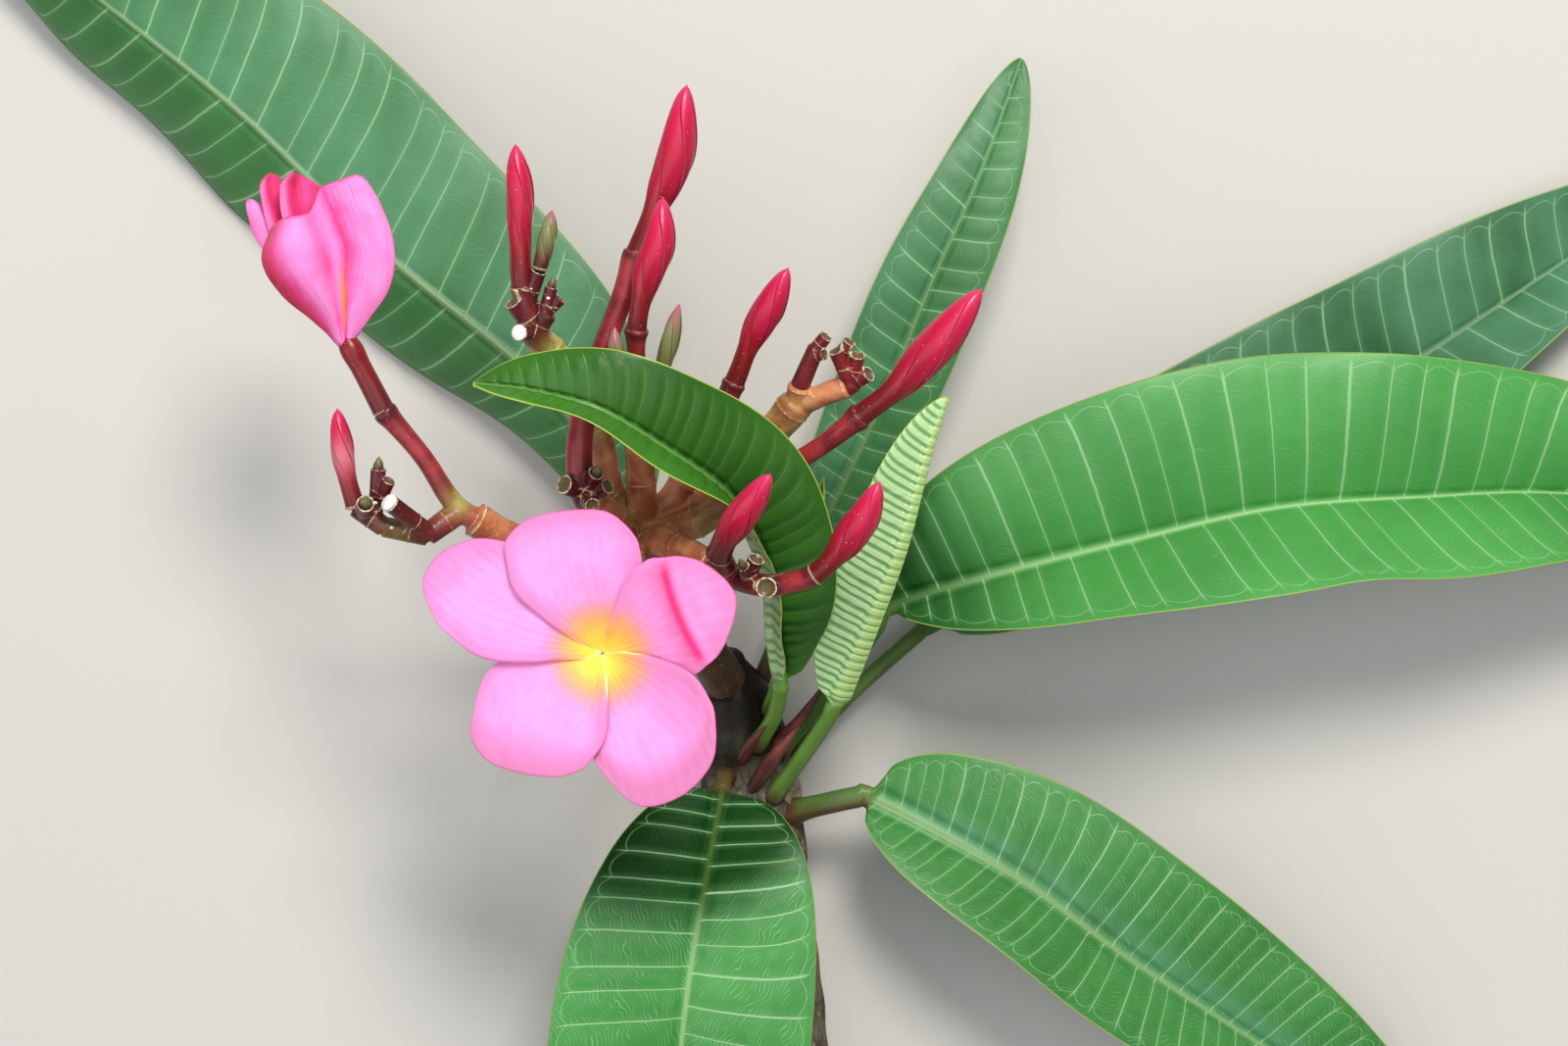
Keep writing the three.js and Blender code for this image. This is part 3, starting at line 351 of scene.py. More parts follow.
# Plumeria bark: brown-grey, dull, finely cracked along and across, with paler corky leaf scars and, at
# the cut, cream wood round a greenish pith. The growing tip stays green-black, smooth and shiny.
def barkNodes(add, look):
    scar, tip, cut, rim, sawn = (
        add("Attribute", attribute_name=name, out="Fac")
        for name in ("scar", "tip", "cutRadius", "scarRim", "cut")
    )
    body = add("TexCoord", out="Object")
    cloud = add("TexNoise", body, None, 90.0, 5.0)
    fine = add("TexNoise", body, None, 700.0, 4.0)
    cells = add("TexVoronoi", add("Mapping", body, None, None, (1, 0.3, 1)), None, 420.0, **toEdge)
    rough = add("Math", tip, -1.0, 1.0, **scaled)
    crack = add("Math", add("MapRange", cells, 0.1, 0.0, **soft), rough, **product)
    lenticel = add("MapRange", add("TexVoronoi", body, None, 230.0), 0.22, 0.12, **soft)
    colour = add("MixRGB", add("MapRange", cloud, 0.3, 0.7, **soft), look["dark"], look["light"])
    colour = add("MixRGB", add("Math", crack, 0.5, **product), colour, look["crack"])
    colour = add("MixRGB", add("Math", lenticel, 0.5, **product), colour, look["lenticel"])
    corky = add("MixRGB", add("MapRange", fine, 0.3, 0.7, **soft), look["scar"], look["scarPale"])
    colour = add("MixRGB", add("Math", scar, 0.8, **product), colour, corky)
    colour = add("MixRGB", rim, colour, look["rim"])
    fresh = add("MixRGB", add("MapRange", cloud, 0.45, 0.7, **soft), look["tipDark"], look["tipGreen"])
    colour = add("MixRGB", add("Math", tip, 0.95, **product), colour, fresh)
    wood = add("ValToRGB", cut, stops=[
        (0.0, look["pith"]), (0.3, look["pith"]), (0.36, look["wood"]), (0.8, look["wood"]),
        (0.86, look["cambium"]), (0.95, look["cortex"]), (1.0, look["dark"]),
    ])
    colour = add("MixRGB", sawn, colour, wood)
    height = add("Math", add("Math", crack, -0.6, fine, **scaled), rough, **product)
    relief = add("Bump", sockets={"Height": height, "Strength": 0.6, "Distance": 0.0005})
    return {"Base Color": colour, "Roughness": add("MapRange", tip, 0.0, 1.0, 0.78, 0.33), "Normal": relief,
            "IOR": 1.45, "Specular IOR Level": 0.14}


bark = materialOf("plumeriaBark", barkNodes, {
    "dark": "#3d372f", "light": "#6f685a", "crack": "#28241e", "lenticel": "#958e7b", "scar": "#857862",
    "scarPale": "#ada087", "rim": "#453a2f", "tipDark": "#1b1712", "tipGreen": "#343823", "pith": "#d9d6ae",
    "wood": "#e6dcbb", "cambium": "#8ea35a", "cortex": "#6d7f45",
})


# Fleshy flower stalks: smooth thin skin over sap-filled tissue, so a soft wet gloss, mottled in two
# hues, with pale pin-prick pores, green patches, ragged cream rings at joints and corky stub rims.
def stalkNodes(add, look):
    joint, green, scar, cup, dark, tan = (
        add("Attribute", attribute_name=name, out="Fac")
        for name in ("joint", "green", "scar", "cup", "dark", "tan")
    )
    body = add("TexCoord", out="Object")
    cloud = add("TexNoise", body, None, 130.0, 4.0)
    fine = add("TexNoise", body, None, 1100.0, 3.0)
    pore = add("MapRange", add("TexVoronoi", body, None, 620.0), 0.15, 0.07, **soft)
    colour = add("MixRGB", add("MapRange", cloud, 0.35, 0.65, **soft), look["deep"], look["skin"])
    mossy = add("MixRGB", add("MapRange", cloud, 0.4, 0.6, **soft), look["green"], look["greenPale"])
    patchy = add("Math", green, add("MapRange", cloud, 0.35, 0.6, 0.6, 1.1), **product)
    colour = add("MixRGB", tan, colour, look["tan"])
    colour = add("MixRGB", patchy, colour, mossy)
    colour = add("MixRGB", dark, colour, look["dark"])
    colour = add("MixRGB", add("Math", pore, look["poreShow"], **product), colour, look["pore"])
    uneven = add("Math", joint, add("Math", fine, 1.3, -0.72, **scaled), **sumOf)
    ring = add("Math", add("MapRange", uneven, 0.45, 0.9, **soft), 0.8, **product)
    colour = add("MixRGB", ring, colour, look["joint"])
    corky = add("MixRGB", add("MapRange", fine, 0.35, 0.6, **soft), look["scar"], look["scarPale"])
    rimmed = add("Math", scar, add("Math", fine, 0.9, -0.45, **scaled), **sumOf)
    colour = add("MixRGB", add("MapRange", rimmed, 0.4, 0.75, **soft), colour, corky)
    colour = add("MixRGB", add("MapRange", cup, 0.4, 0.7, **soft), colour, look["cup"])
    height = add("Math", pore, 0.5, fine, **scaled)
    relief = add("Bump", sockets={"Height": height, "Strength": 0.3, "Distance": 0.0003})
    return {"Base Color": colour, "Roughness": add("MapRange", joint, 0.0, 1.0, look["gloss"], 0.6),
            "Normal": relief, "IOR": 1.45, "Specular IOR Level": 0.45, "Subsurface Weight": 0.1,
            "Subsurface Scale": 0.002}


rayStalk = materialOf("fleshyRayStalk", stalkNodes, {
    "deep": "#9c5236", "skin": "#c8835a", "green": "#6f7834", "greenPale": "#a3a356", "dark": "#29231a",
    "tan": "#a8603f", "pore": "#e8d3a8", "poreShow": 0.45, "joint": "#d8cba0", "scar": "#a8986e",
    "scarPale": "#cfc3a0", "cup": "#5b4a33", "gloss": 0.38,
})
redStalk = materialOf("redFlowerStalk", stalkNodes, {
    "deep": "#6a181e", "skin": "#962c32", "green": "#7a8638", "greenPale": "#a8b05a", "dark": "#2e0e13",
    "tan": "#9c5238", "pore": "#d99a8a", "poreShow": 0.28, "joint": "#c9b68e", "scar": "#84754f",
    "scarPale": "#d8d0ba", "cup": "#5f4f2e", "gloss": 0.3,
})
redSheath = materialOf("redLeafSheath", stalkNodes, {
    "deep": "#5e2c26", "skin": "#8a4440", "green": "#6d7a36", "greenPale": "#8a9550", "dark": "#261a14",
    "tan": "#8a4440", "pore": "#c08a7a", "poreShow": 0.1, "joint": "#8a7a5c", "scar": "#84754f",
    "scarPale": "#b8ac90", "cup": "#5f4f2e", "gloss": 0.42,
})


# Closed buds: petals wound tight, satiny crimson, darker down the tube, with painted glints of light on
# a fine bloom and painted shade in the seams between the petals.
def budNodes(add, look):
    seam, share, joint, petal, pale = (
        add("Attribute", attribute_name=name, out="Fac")
        for name in ("seam", "share", "joint", "petal", "pale")
    )
    body = add("TexCoord", out="Object")
    cloud = add("TexNoise", body, None, 160.0, 4.0)
    fine = add("TexNoise", body, None, 1600.0, 2.0)
    wavered = add("Math", cloud, 0.14, add("Math", share, -0.07, **sumOf), **scaled)
    colour = add("ValToRGB", wavered, stops=look["run"])
    colour = add("MixRGB", add("Math", petal, 0.4, **product), colour, look["petalPale"])
    colour = add("MixRGB", pale, colour, look["bloom"])
    # Painted shade along the seams, where each petal's edge steps over the next.
    inSeamShade = add("Math", add("MapRange", seam, 0.25, 0.85, **soft), 0.85, **product)
    colour = add("MixRGB", inSeamShade, colour, look["seam"])
    # Painted glints: tiny pale specks of reflected light, scattered over the bud.
    glintSpots = add("MapRange", add("TexVoronoi", body, None, 800.0), 0.15, 0.05, **soft)
    spark = add("Math", glintSpots, add("MapRange", fine, 0.48, 0.58, **soft), **product)
    colour = add("MixRGB", add("Math", spark, 0.7, **product), colour, look["spark"])
    uneven = add("Math", joint, add("Math", fine, 1.3, -0.72, **scaled), **sumOf)
    ring = add("Math", add("MapRange", uneven, 0.4, 0.8, **soft), 0.75, **product)
    colour = add("MixRGB", ring, colour, look["joint"])
    relief = add("Bump", sockets={"Height": fine, "Strength": 0.25, "Distance": 0.0002})
    return {"Base Color": colour, "Roughness": 0.34, "Normal": relief, "IOR": 1.45,
            "Specular IOR Level": 0.35, "Coat Weight": 0.12, "Coat Roughness": 0.18,
            "Subsurface Weight": 0.1, "Subsurface Scale": 0.0015}


crimsonBud = materialOf("crimsonBudPetal", budNodes, {
    "run": [(0.0, "#5a1012"), (0.25, "#7a1216"), (0.4, "#98102a"), (0.6, "#aa0c32"), (0.85, "#bc1644"),
            (1.0, "#c83060")],
    "petalPale": "#d02456", "bloom": "#d07c8c", "seam": "#4c0414", "spark": "#ffc3cf", "joint": "#bda37c",
})
greenBud = materialOf("unripeBudPetal", budNodes, {
    "run": [(0.0, "#3d1518"), (0.2, "#542420"), (0.4, "#62603a"), (0.75, "#767a4a"), (0.9, "#96686a"),
            (1.0, "#b24a66")],
    "petalPale": "#94945e", "bloom": "#a8a878", "seam": "#3f2c20", "spark": "#e8e4c0", "joint": "#a8905f",
})


# Petals: thin, matt and velvety, streaked along their length. Blush runs from the pale lilac face to
# crimson, partly the petals' own colour and partly painted shade, deeper towards the edges; yellow fades
# through orange away from the throat; the outer face is paler. Painted shade also deepens the pink along
# a valley, and the thin dark line at the edges is partly the margin's colour, partly painted shadow.
def petalNodes(add, look):
    blush, edge, outer, crease, fromThroat, flame = (
        add("Attribute", attribute_name=name, out="Fac")
        for name in ("blush", "edgeMm", "outer", "crease", "fromThroat", "orange")
    )
    plan = add("UVMap", uv_map="plan")
    streak = add("TexNoise", add("Mapping", plan, None, None, (1.7, 0.08, 1)), None, 1.0, 4.0)
    wide = add("TexNoise", plan, None, 0.11, 2.0)
    ragged = add("Math", add("Math", streak, -0.5, **sumOf), look["ragged"], edge, **scaled)
    # Deeper pink near the edges: partly the petal's own colour, partly painted shade.
    rim = add("Math", add("MapRange", ragged, look["rimMm"], 0.0, **soft), look["rimShow"], **product)
    fibres = add("MapRange", streak, 0.35, 0.75, -0.4 * look["streaks"], look["streaks"])
    cast = add("Math", add("MapRange", wide, 0.4, 0.75, 0.0, 0.22), fibres, **sumOf)
    pinkness = add("Math", add("Math", blush, rim, **largest), cast, **sumOf)
    colour = add("ValToRGB", pinkness, stops=look["run"])
    colour = add("MixRGB", add("Math", outer, look["outerShow"], **product), colour, look["back"])
    further = add("Math", fromThroat, add("MapRange", edge, 0.0, 5.0, 2.0, 0.0, **soft), **sumOf)
    spread = add("Math", add("Math", streak, -0.5, **sumOf), look["throatRagged"], further, **scaled)
    glow = add("Math", spread, 0.05, **product)
    inThroat = add("MapRange", glow, look["throatEnd"], look["throatEnd"] * 0.5, **soft)
    colour = add("MixRGB", inThroat, colour, add("ValToRGB", glow, stops=look["throat"]))
    colour = add("MixRGB", flame, colour, look["flame"])
    # Painted shade: deeper pink along the valley of the open flower's right petal.
    colour = add("MixRGB", add("Math", crease, 0.8, **product), colour, look["crease"])
    # A thin darker line at the edges: partly the margin's colour, partly painted shadow where one petal lies
    # over the next.
    outline = add("Math", add("MapRange", edge, 0.45, 0.05, **soft), look["outline"], **product)
    colour = add("MixRGB", outline, colour, look["edge"])
    deepIn = add("MapRange", fromThroat, 13.0, 8.0, **soft)
    inner = add("Math", add("MapRange", edge, 0.75, 0.25, **soft), deepIn, **product)
    colour = add("MixRGB", inner, colour, look["innerEdge"])
    relief = add("Bump", sockets={"Height": streak, "Strength": 0.14, "Distance": 0.0004})
    return {"Base Color": colour, "Roughness": 0.55, "Normal": relief, "IOR": 1.4,
            "Specular IOR Level": 0.3, "Sheen Weight": 0.12, "Sheen Roughness": 0.5,
            "Subsurface Weight": 0.2, "Subsurface Scale": 0.0015}


openPetal = materialOf("openPetal", petalNodes, {
    "run": [(0.0, "#f29ae6"), (0.22, "#ea80c8"), (0.48, "#dd60ae"), (0.75, "#c84890"), (1.0, "#a92a6a")],
    "rimMm": 7.0, "rimShow": 0.62, "ragged": 5.0, "streaks": 0.13, "outerShow": 0.5, "back": "#f4a6dc",
    "throat": [(0.0, "#f4e680"), (0.12, "#f8e060"), (0.28, "#fad050"), (0.42, "#f9b262"), (0.58, "#f69c80"),
               (0.78, "#f48cae"), (0.98, "#f290d2")],
    "throatRagged": 3.0, "throatEnd": 0.9, "flame": "#fbb04a", "crease": "#e6307c", "outline": 0.6,
    "edge": "#d92c80", "innerEdge": "#fff2c8",
})
openingPetal = materialOf("openingPetal", petalNodes, {
    "run": [(0.0, "#ec8bcb"), (0.25, "#ee70b6"), (0.5, "#e5468e"), (0.8, "#cc2458"), (1.0, "#9a1232")],
    "rimMm": 1.4, "rimShow": 0.35, "ragged": 3.0, "streaks": 0.07, "outerShow": 0.0, "back": "#f590da",
    "throat": [(0.0, "#8c1424"), (0.1, "#b4223e"), (0.3, "#e8487c"), (1.0, "#ee5a8c")],
    "throatRagged": 2.0, "throatEnd": 0.17, "flame": "#ff8c1e", "crease": "#e21f6a", "outline": 0.6,
    "edge": "#9c1848", "innerEdge": "#8c1424",
})


# The bottom of the throat: a speck of olive brown in the shade of the petals' feet.
def hollowNodes(add, look):
    return {"Base Color": look["speck"], "Roughness": 0.7}


throatHollow = materialOf("throatHollow", hollowNodes, {"speck": "#5a4c1c"})


# Dried latex: the milky sap sets to a white, slightly shiny crust.
def latexNodes(add, look):
    lumps = add("TexNoise", add("TexCoord", out="Object"), None, 900.0, 3.0)
    relief = add("Bump", sockets={"Height": lumps, "Strength": 0.6, "Distance": 0.0003})
    white = add("MixRGB", lumps, look["thin"], look["thick"])
    return {"Base Color": white, "Roughness": 0.35, "Normal": relief}


driedLatex = materialOf("driedLatex", latexNodes, {"thin": "#cfd6c4", "thick": "#f6f8f2"})


branch = {
    "radius": 13.4,
    "points": [[4, -195, 12.79], [1, -165, 12.79], [-2, -140, 12.79], [-5, -112, 12.79], [-8, -86, 13.4],
               [-11, -64, 17], [-14, -45, 24], [-15, -38, 27]],
    "taper": [[0, 13.4], [0.72, 13.4], [0.86, 12.6], [0.95, 9.5], [1, 4.5]],
    # leaf scars: share of the length, degrees round it, size
    "scars": [[0.1, 62, 4.6], [0.2, 118, 4.8], [0.31, 40, 4.8], [0.38, 92, 5.0], [0.48, 140, 5.0],
              [0.55, 58, 5.0], [0.63, 104, 5.0], [0.71, 30, 4.8], [0.76, 150, 4.8]],
}
branchRoute = routeOf(branch["points"])


def branchRadius(shares):  # read off the taper, straight from pair to pair
    return np.interp(shares, *np.array(branch["taper"], float).T)


# Rings about the branch's route. The radius is the taper, plus slow swellings, long wrinkles and the
# shield of each scar: a step up at its outline and a dish inside it. What is below the table is lifted.
def branchShell():
    sawn, tip = np.linspace(0.03, 0.97, 14), np.radians([75, 60, 45, 30, 15, 4])  # rings of the two ends
    body = np.linspace(0, 1, 380)
    shares = np.r_[0 * sawn, body, np.ones(len(tip))]
    turn = np.linspace(0, 2 * np.pi, 168, endpoint=False)
    centre, forward, side, normal = framesAt(branchRoute, shares)
    lengthwise = (shares * branchRoute["length"])[:, None]
    base = branchRadius(shares)[:, None]
    wrinkles = 0.16 * np.sin(9 * turn + 0.05 * lengthwise) + 0.1 * np.sin(23 * turn - 0.09 * lengthwise + 1)
    rings = 0.18 * np.sin(lengthwise / 2.3 + 1.5 * np.sin(2 * turn)) + 0.3 * np.sin(lengthwise / 9 + 1)
    height = (wrinkles + rings) * smooth((0.88 - shares[:, None]) / 0.14)
    scar, rim = np.zeros((2, len(shares), len(turn)))
    for share, degrees, size in branch["scars"]:
        around = (turn - np.radians(degrees) + np.pi) % (2 * np.pi) - np.pi
        x, y = around * branch["radius"], lengthwise - share * branchRoute["length"]
        shield = np.hypot(x / (size * 1.05), y / (size * (0.86 - 0.1 * np.sign(y))))
        height = height + 0.95 * smooth((1.12 - shield) / 0.24) - 0.45 * smooth((0.82 - shield) / 0.3)
        bundles = sum(bell(np.hypot(x - bx, y - by), 0.55) for bx, by in ((-1.7, 0.4), (0, -0.7), (1.7, 0.4)))
        height = height + 0.3 * bundles
        scar = np.maximum(scar, smooth((1.0 - shield) / 0.12))
        rim = np.maximum(rim, bell(shield - 1.0, 0.09) * 0.8 + np.minimum(bundles, 1) * 0.7)
    radius = (base + height) * np.r_[sawn, np.ones(len(body)), np.sin(tip)][:, None]
    slide = np.r_[-0.25 * (1 - sawn) ** 0.5, 0 * body, 0.9 * np.cos(tip) * base[-len(tip) :, 0]]
    centre = centre + forward * slide[:, None]
    points = centre[:, None] + waysOut(side, normal, turn) * radius[..., None]
    points[..., 2] = np.maximum(points[..., 2], 0)
    rest = len(shares) - len(sawn)
    values = {
        "scar": scar, "scarRim": rim, "tip": smooth((shares[:, None] - 0.8) / 0.05),
        "cut": np.r_[np.ones(len(sawn)), np.zeros(rest)][:, None],
        "cutRadius": np.r_[sawn, np.ones(rest)][:, None],
    }
    plan = np.stack(np.broadcast_arrays(turn * branch["radius"], lengthwise), -1)
    return loft(points, values, plan)


# Sheaths of young leaves that wrap the tip: foot to point, and the greatest radius.
sheaths = [
    [[[-9, -73, 27], [-3, -64, 35], [4, -55, 41]], 2.2],
    [[[-12, -66, 28], [-9, -60, 35], [-5, -55, 40]], 1.7],
    [[[-4, -62, 24], [4, -54, 31], [9, -46, 37]], 1.6],
]


# A tube widest at a third of its length, which narrows to a point and is darkest at its foot.
def sheathShell(points, radius):
    pairs = [[0, radius * 0.8], [0.35, radius], [0.75, radius * 0.6], [1, 0.25]]
    shell = tubeShell(routeOf(points), pairs, values={"dark": [[0, 0.7], [0.5, 0.15], [1, 0.3]]})
    return {**shell, "material": 1}


# A half of a blade leaves the midrib at its fold and bends by its curl on the way to the edge, in
# degrees. Pairs are the left and the right half, looking from stem to tip with the upper face up. Wave
# is [millimetres, waves in 200 mm]. Spacing is between side veins in millimetres, less near the stem
# where dense is high, and sweep is how far they lean to the tip. Quilt is how far the blade puffs up
# between them, and opening the millimetres over which the stem becomes blade. Tones mix each leaf's own
# green with painted shade, from 0 in painted shadow to 1 lit, and the shadow tilt slants the edge of that
# painted shadow across a half. Sheen is a painted bluish reflection on each half, with more of it along
# the midrib where rib sheen is given. Net, flush and brown run from 0 to 1, as do tones and sheen; flush
# also carries painted shade at the stem's foot. What a leaf doesn't give is usual.
usualLeaf = {
    "young": False, "roll": 0, "quilt": 0.28, "sweep": [1, 1], "dense": 0.3, "opening": 5, "tone": 0.5,
    "shadowTilt": [0, 0], "net": 0.25, "wax": [0, 0], "ribPaintedSheen": [0, 0], "flush": 0.2, "flushTurn": 0,
    "brown": 0,
}
leaves = {
    "leaf_upper_left": {
        "stem": [[-15, -52, 16], [-26, -32, 14], [-36, -11, 17]],
        "midrib": [[-41, 1, 20], [-66, 37, 25.5], [-110, 74, 26.4], [-148, 111, 26.4], [-191, 146, 25.4],
                   [-238, 184, 20]],
        "halfWidth": [34, 40], "peak": [0.45, 0.46], "tipPower": 0.66, "fold": [-34, 8], "curl": [-34, -12],
        "wave": [0.8, 3], "rib": 2.6, "spacing": 9.6, "tonesAndShade": [0.37, 0.41], "wax": [0.05, 0.38],
    },
    "leaf_top": {
        "stem": [[-9, -52, 20], [-3, -34, 20], [5, -15, 22]],
        "midrib": [[9, -4, 23], [19, 16, 26], [29, 38, 30], [40, 65, 33], [53, 94, 33], [65, 127, 28]],
        "halfWidth": [15, 14.5], "peak": [0.4, 0.46], "tipPower": 0.6, "fold": [14, 14], "curl": [-16, -16],
        "wave": [0.5, 3], "rib": 1.9, "spacing": 7.2, "tone": 0.35, "wax": [0.3, 0.15],
    },
    "leaf_right_back": {
        "stem": [[-3, -72, 12], [16, -50, 12], [37, -31, 11]],
        "midrib": [[42, -28, 9], [82, -6, 4.8], [137, 22, 2.6], [173, 43, 2.4], [218, 73, 5], [258, 99, 11]],
        "halfWidth": [34, 27], "peak": [0.4, 0.42], "tipPower": 0.66, "fold": [26, 44], "curl": [-22, -10],
        "wave": [0.8, 3], "rib": 2.2, "spacing": 9.2, "tone": 0.3, "wax": [0.5, 0.5],
    },
    "leaf_right": {
        "stem": [[-4, -65, 24], [12, -46, 32], [25, -28, 37]],
        "midrib": [[28, -23, 38], [53, -15, 42], [92, -5, 45], [132, 4, 44], [172, 7, 40], [213, 8, 33],
                   [278, 1, 20]],
        "halfWidth": [44, 34], "peak": [0.37, 0.46], "tipPower": 0.7, "fold": [38, 56], "curl": [-44, -14],
        "wave": [1.2, 3], "rib": 2.5, "spacing": 9,
        # Painted shade: darker towards the stem.
        "tonesAndShade": [[[0, 0.1], [0.05, 0.2], [0.15, 0.72], [0.3, 0.8], [1, 0.8]]] * 2,
        "sweep": [[[0, -0.8], [0.2, -0.5], [0.45, 0.1], [1, 1]], [[0, 0.1], [0.3, 0.5], [0.5, 1], [1, 1.3]]],
    },
    "leaf_folded": {
        "stem": [[-4, -76, 24], [5, -63, 38], [12, -52, 48]],
        "midrib": [[13, -49, 50], [21, -30, 60], [30, -7, 70], [37, 18, 76], [42, 33, 78]],
        "halfWidth": [13, 15], "peak": [0.46, 0.46], "tipPower": 0.7, "fold": [70, 72], "curl": [6, 6],
        "wave": [0, 1], "rib": 2.4, "roll": -90, "young": True, "spacing": 2.7, "quilt": 0.5, "net": 0,
    },
    "leaf_arching": {
        "stem": [[-9, -63, 27], [-3, -53, 38], [-1, -45, 48]],
        "midrib": [[-1, -43, 51], [-3, -30, 60], [-4, -17, 68], [-8, -4, 76], [-15, 8, 85], [-30, 19, 95],
                   [-47, 29, 101], [-65, 34, 98], [-80, 36, 91]],
        "halfWidth": [15, 22], "peak": [0.44, 0.44], "tipPower": 0.8,
        "fold": [[[0, 100], [0.3, 96], [0.5, 74], [1, 56]], [[0, 30], [0.5, 24], [1, 14]]],
        "curl": [10, -22], "wave": [0.4, 4], "rib": 2.2, "young": True, "spacing": 4.4, "quilt": 0.8,
        # Painted shade: the right half darker than the left.
        "tonesAndShade": [0.6, [[0, 0.32], [0.5, 0.25], [0.7, 0.26], [1, 0.45]]], "net": 0.1,
    },
    "leaf_young": {
        "stem": [[-7, -58, 22], [-2, -43, 36], [2, -31, 44]],
        "midrib": [[2.5, -29, 46], [5, -15, 52], [8, 0, 57], [10.5, 12, 60]],
        "halfWidth": [5, 5], "peak": [0.4, 0.4], "tipPower": 0.9, "fold": [48, 48], "curl": [-20, -20],
        "wave": [0, 1], "rib": 1.4, "young": True, "spacing": 3.4, "quilt": 0.15,
    },
    "leaf_bottom": {
        "stem": [[-15, -70, 22], [-16, -68.5, 33], [-16, -68.5, 41]],
        "midrib": [[-16.5, -71.5, 47.5], [-21, -96, 54], [-26, -127, 52], [-30, -166, 42], [-33, -208, 26],
                   [-35, -247, 12]],
        "halfWidth": [35, 36], "peak": [0.36, 0.4], "tipPower": 0.68, "fold": [20, 20], "curl": [-26, -26],
        "wave": [0.8, 3], "rib": 2.2, "spacing": 9.4, "dense": 1.0, "opening": 2, "brown": 0.75, "net": 0.7,
        # Painted shadow of the open flower across the blade's first fifth, its edge slanted across the left
        # half by the shadow tilt.
        "tonesAndShade": [[[0, 0.02], [0.16, 0.04], [0.23, 0.62], [0.4, 0.76], [1, 0.75]]] * 2, "shadowTilt": [0.11, 0],
        "sweep": [[[0, -1.5], [0.14, -1.8], [0.25, -0.7], [0.35, 0], [1, 0.8]], 0.5],
    },
    "leaf_lower_right": {
        "stem": [[-3, -81, 18], [9, -77.5, 25], [20, -75, 27]],
        "midrib": [[23, -75, 27], [43, -85, 30], [67, -99, 30], [94, -119, 26], [133, -145, 17],
                   [164, -166, 9], [192, -185, 3]],
        "halfWidth": [31, 25], "peak": [0.36, 0.37], "tipPower": 0.72, "fold": [22, 46], "curl": [-26, -12],
        "wave": [0.8, 3], "rib": 3, "spacing": 5.8, "flush": 0.8, "flushTurn": 1.25, "opening": 3,
        "tone": 0.55, "net": 0.5, "ribPaintedSheen": [0.4, 0.05],
        "sweep": [
            [[0, -1.5], [0.2, -0.8], [0.45, 0.2], [1, 1]], [[0, -2.4], [0.18, -1.8], [0.42, 0], [1, 1]],
        ],
    },
}


# Share of the greatest half-width at s: s to one power times 1 - s to another, 1 at the peak.
def bladeOutline(s, peak, tipPower):
    basePower = tipPower * peak / (1 - peak)
    return s**basePower * (1 - s) ** tipPower / (peak**basePower * (1 - peak) ** tipPower)


# Share of a stem at which it comes out of the branch, less a little, so that it stands in the bark.
def stemStart(route, bladeStart, depth=1.3):
    shares = np.linspace(0, bladeStart, 160)
    q = np.linspace(0, 1, 200)
    apart = np.linalg.norm(pointsAt(route, shares)[:, None] - pointsAt(branchRoute, q)[None], axis=2)
    outside = (apart - branchRadius(q)).min(1)
    return shares[np.argmax(outside > -depth)]


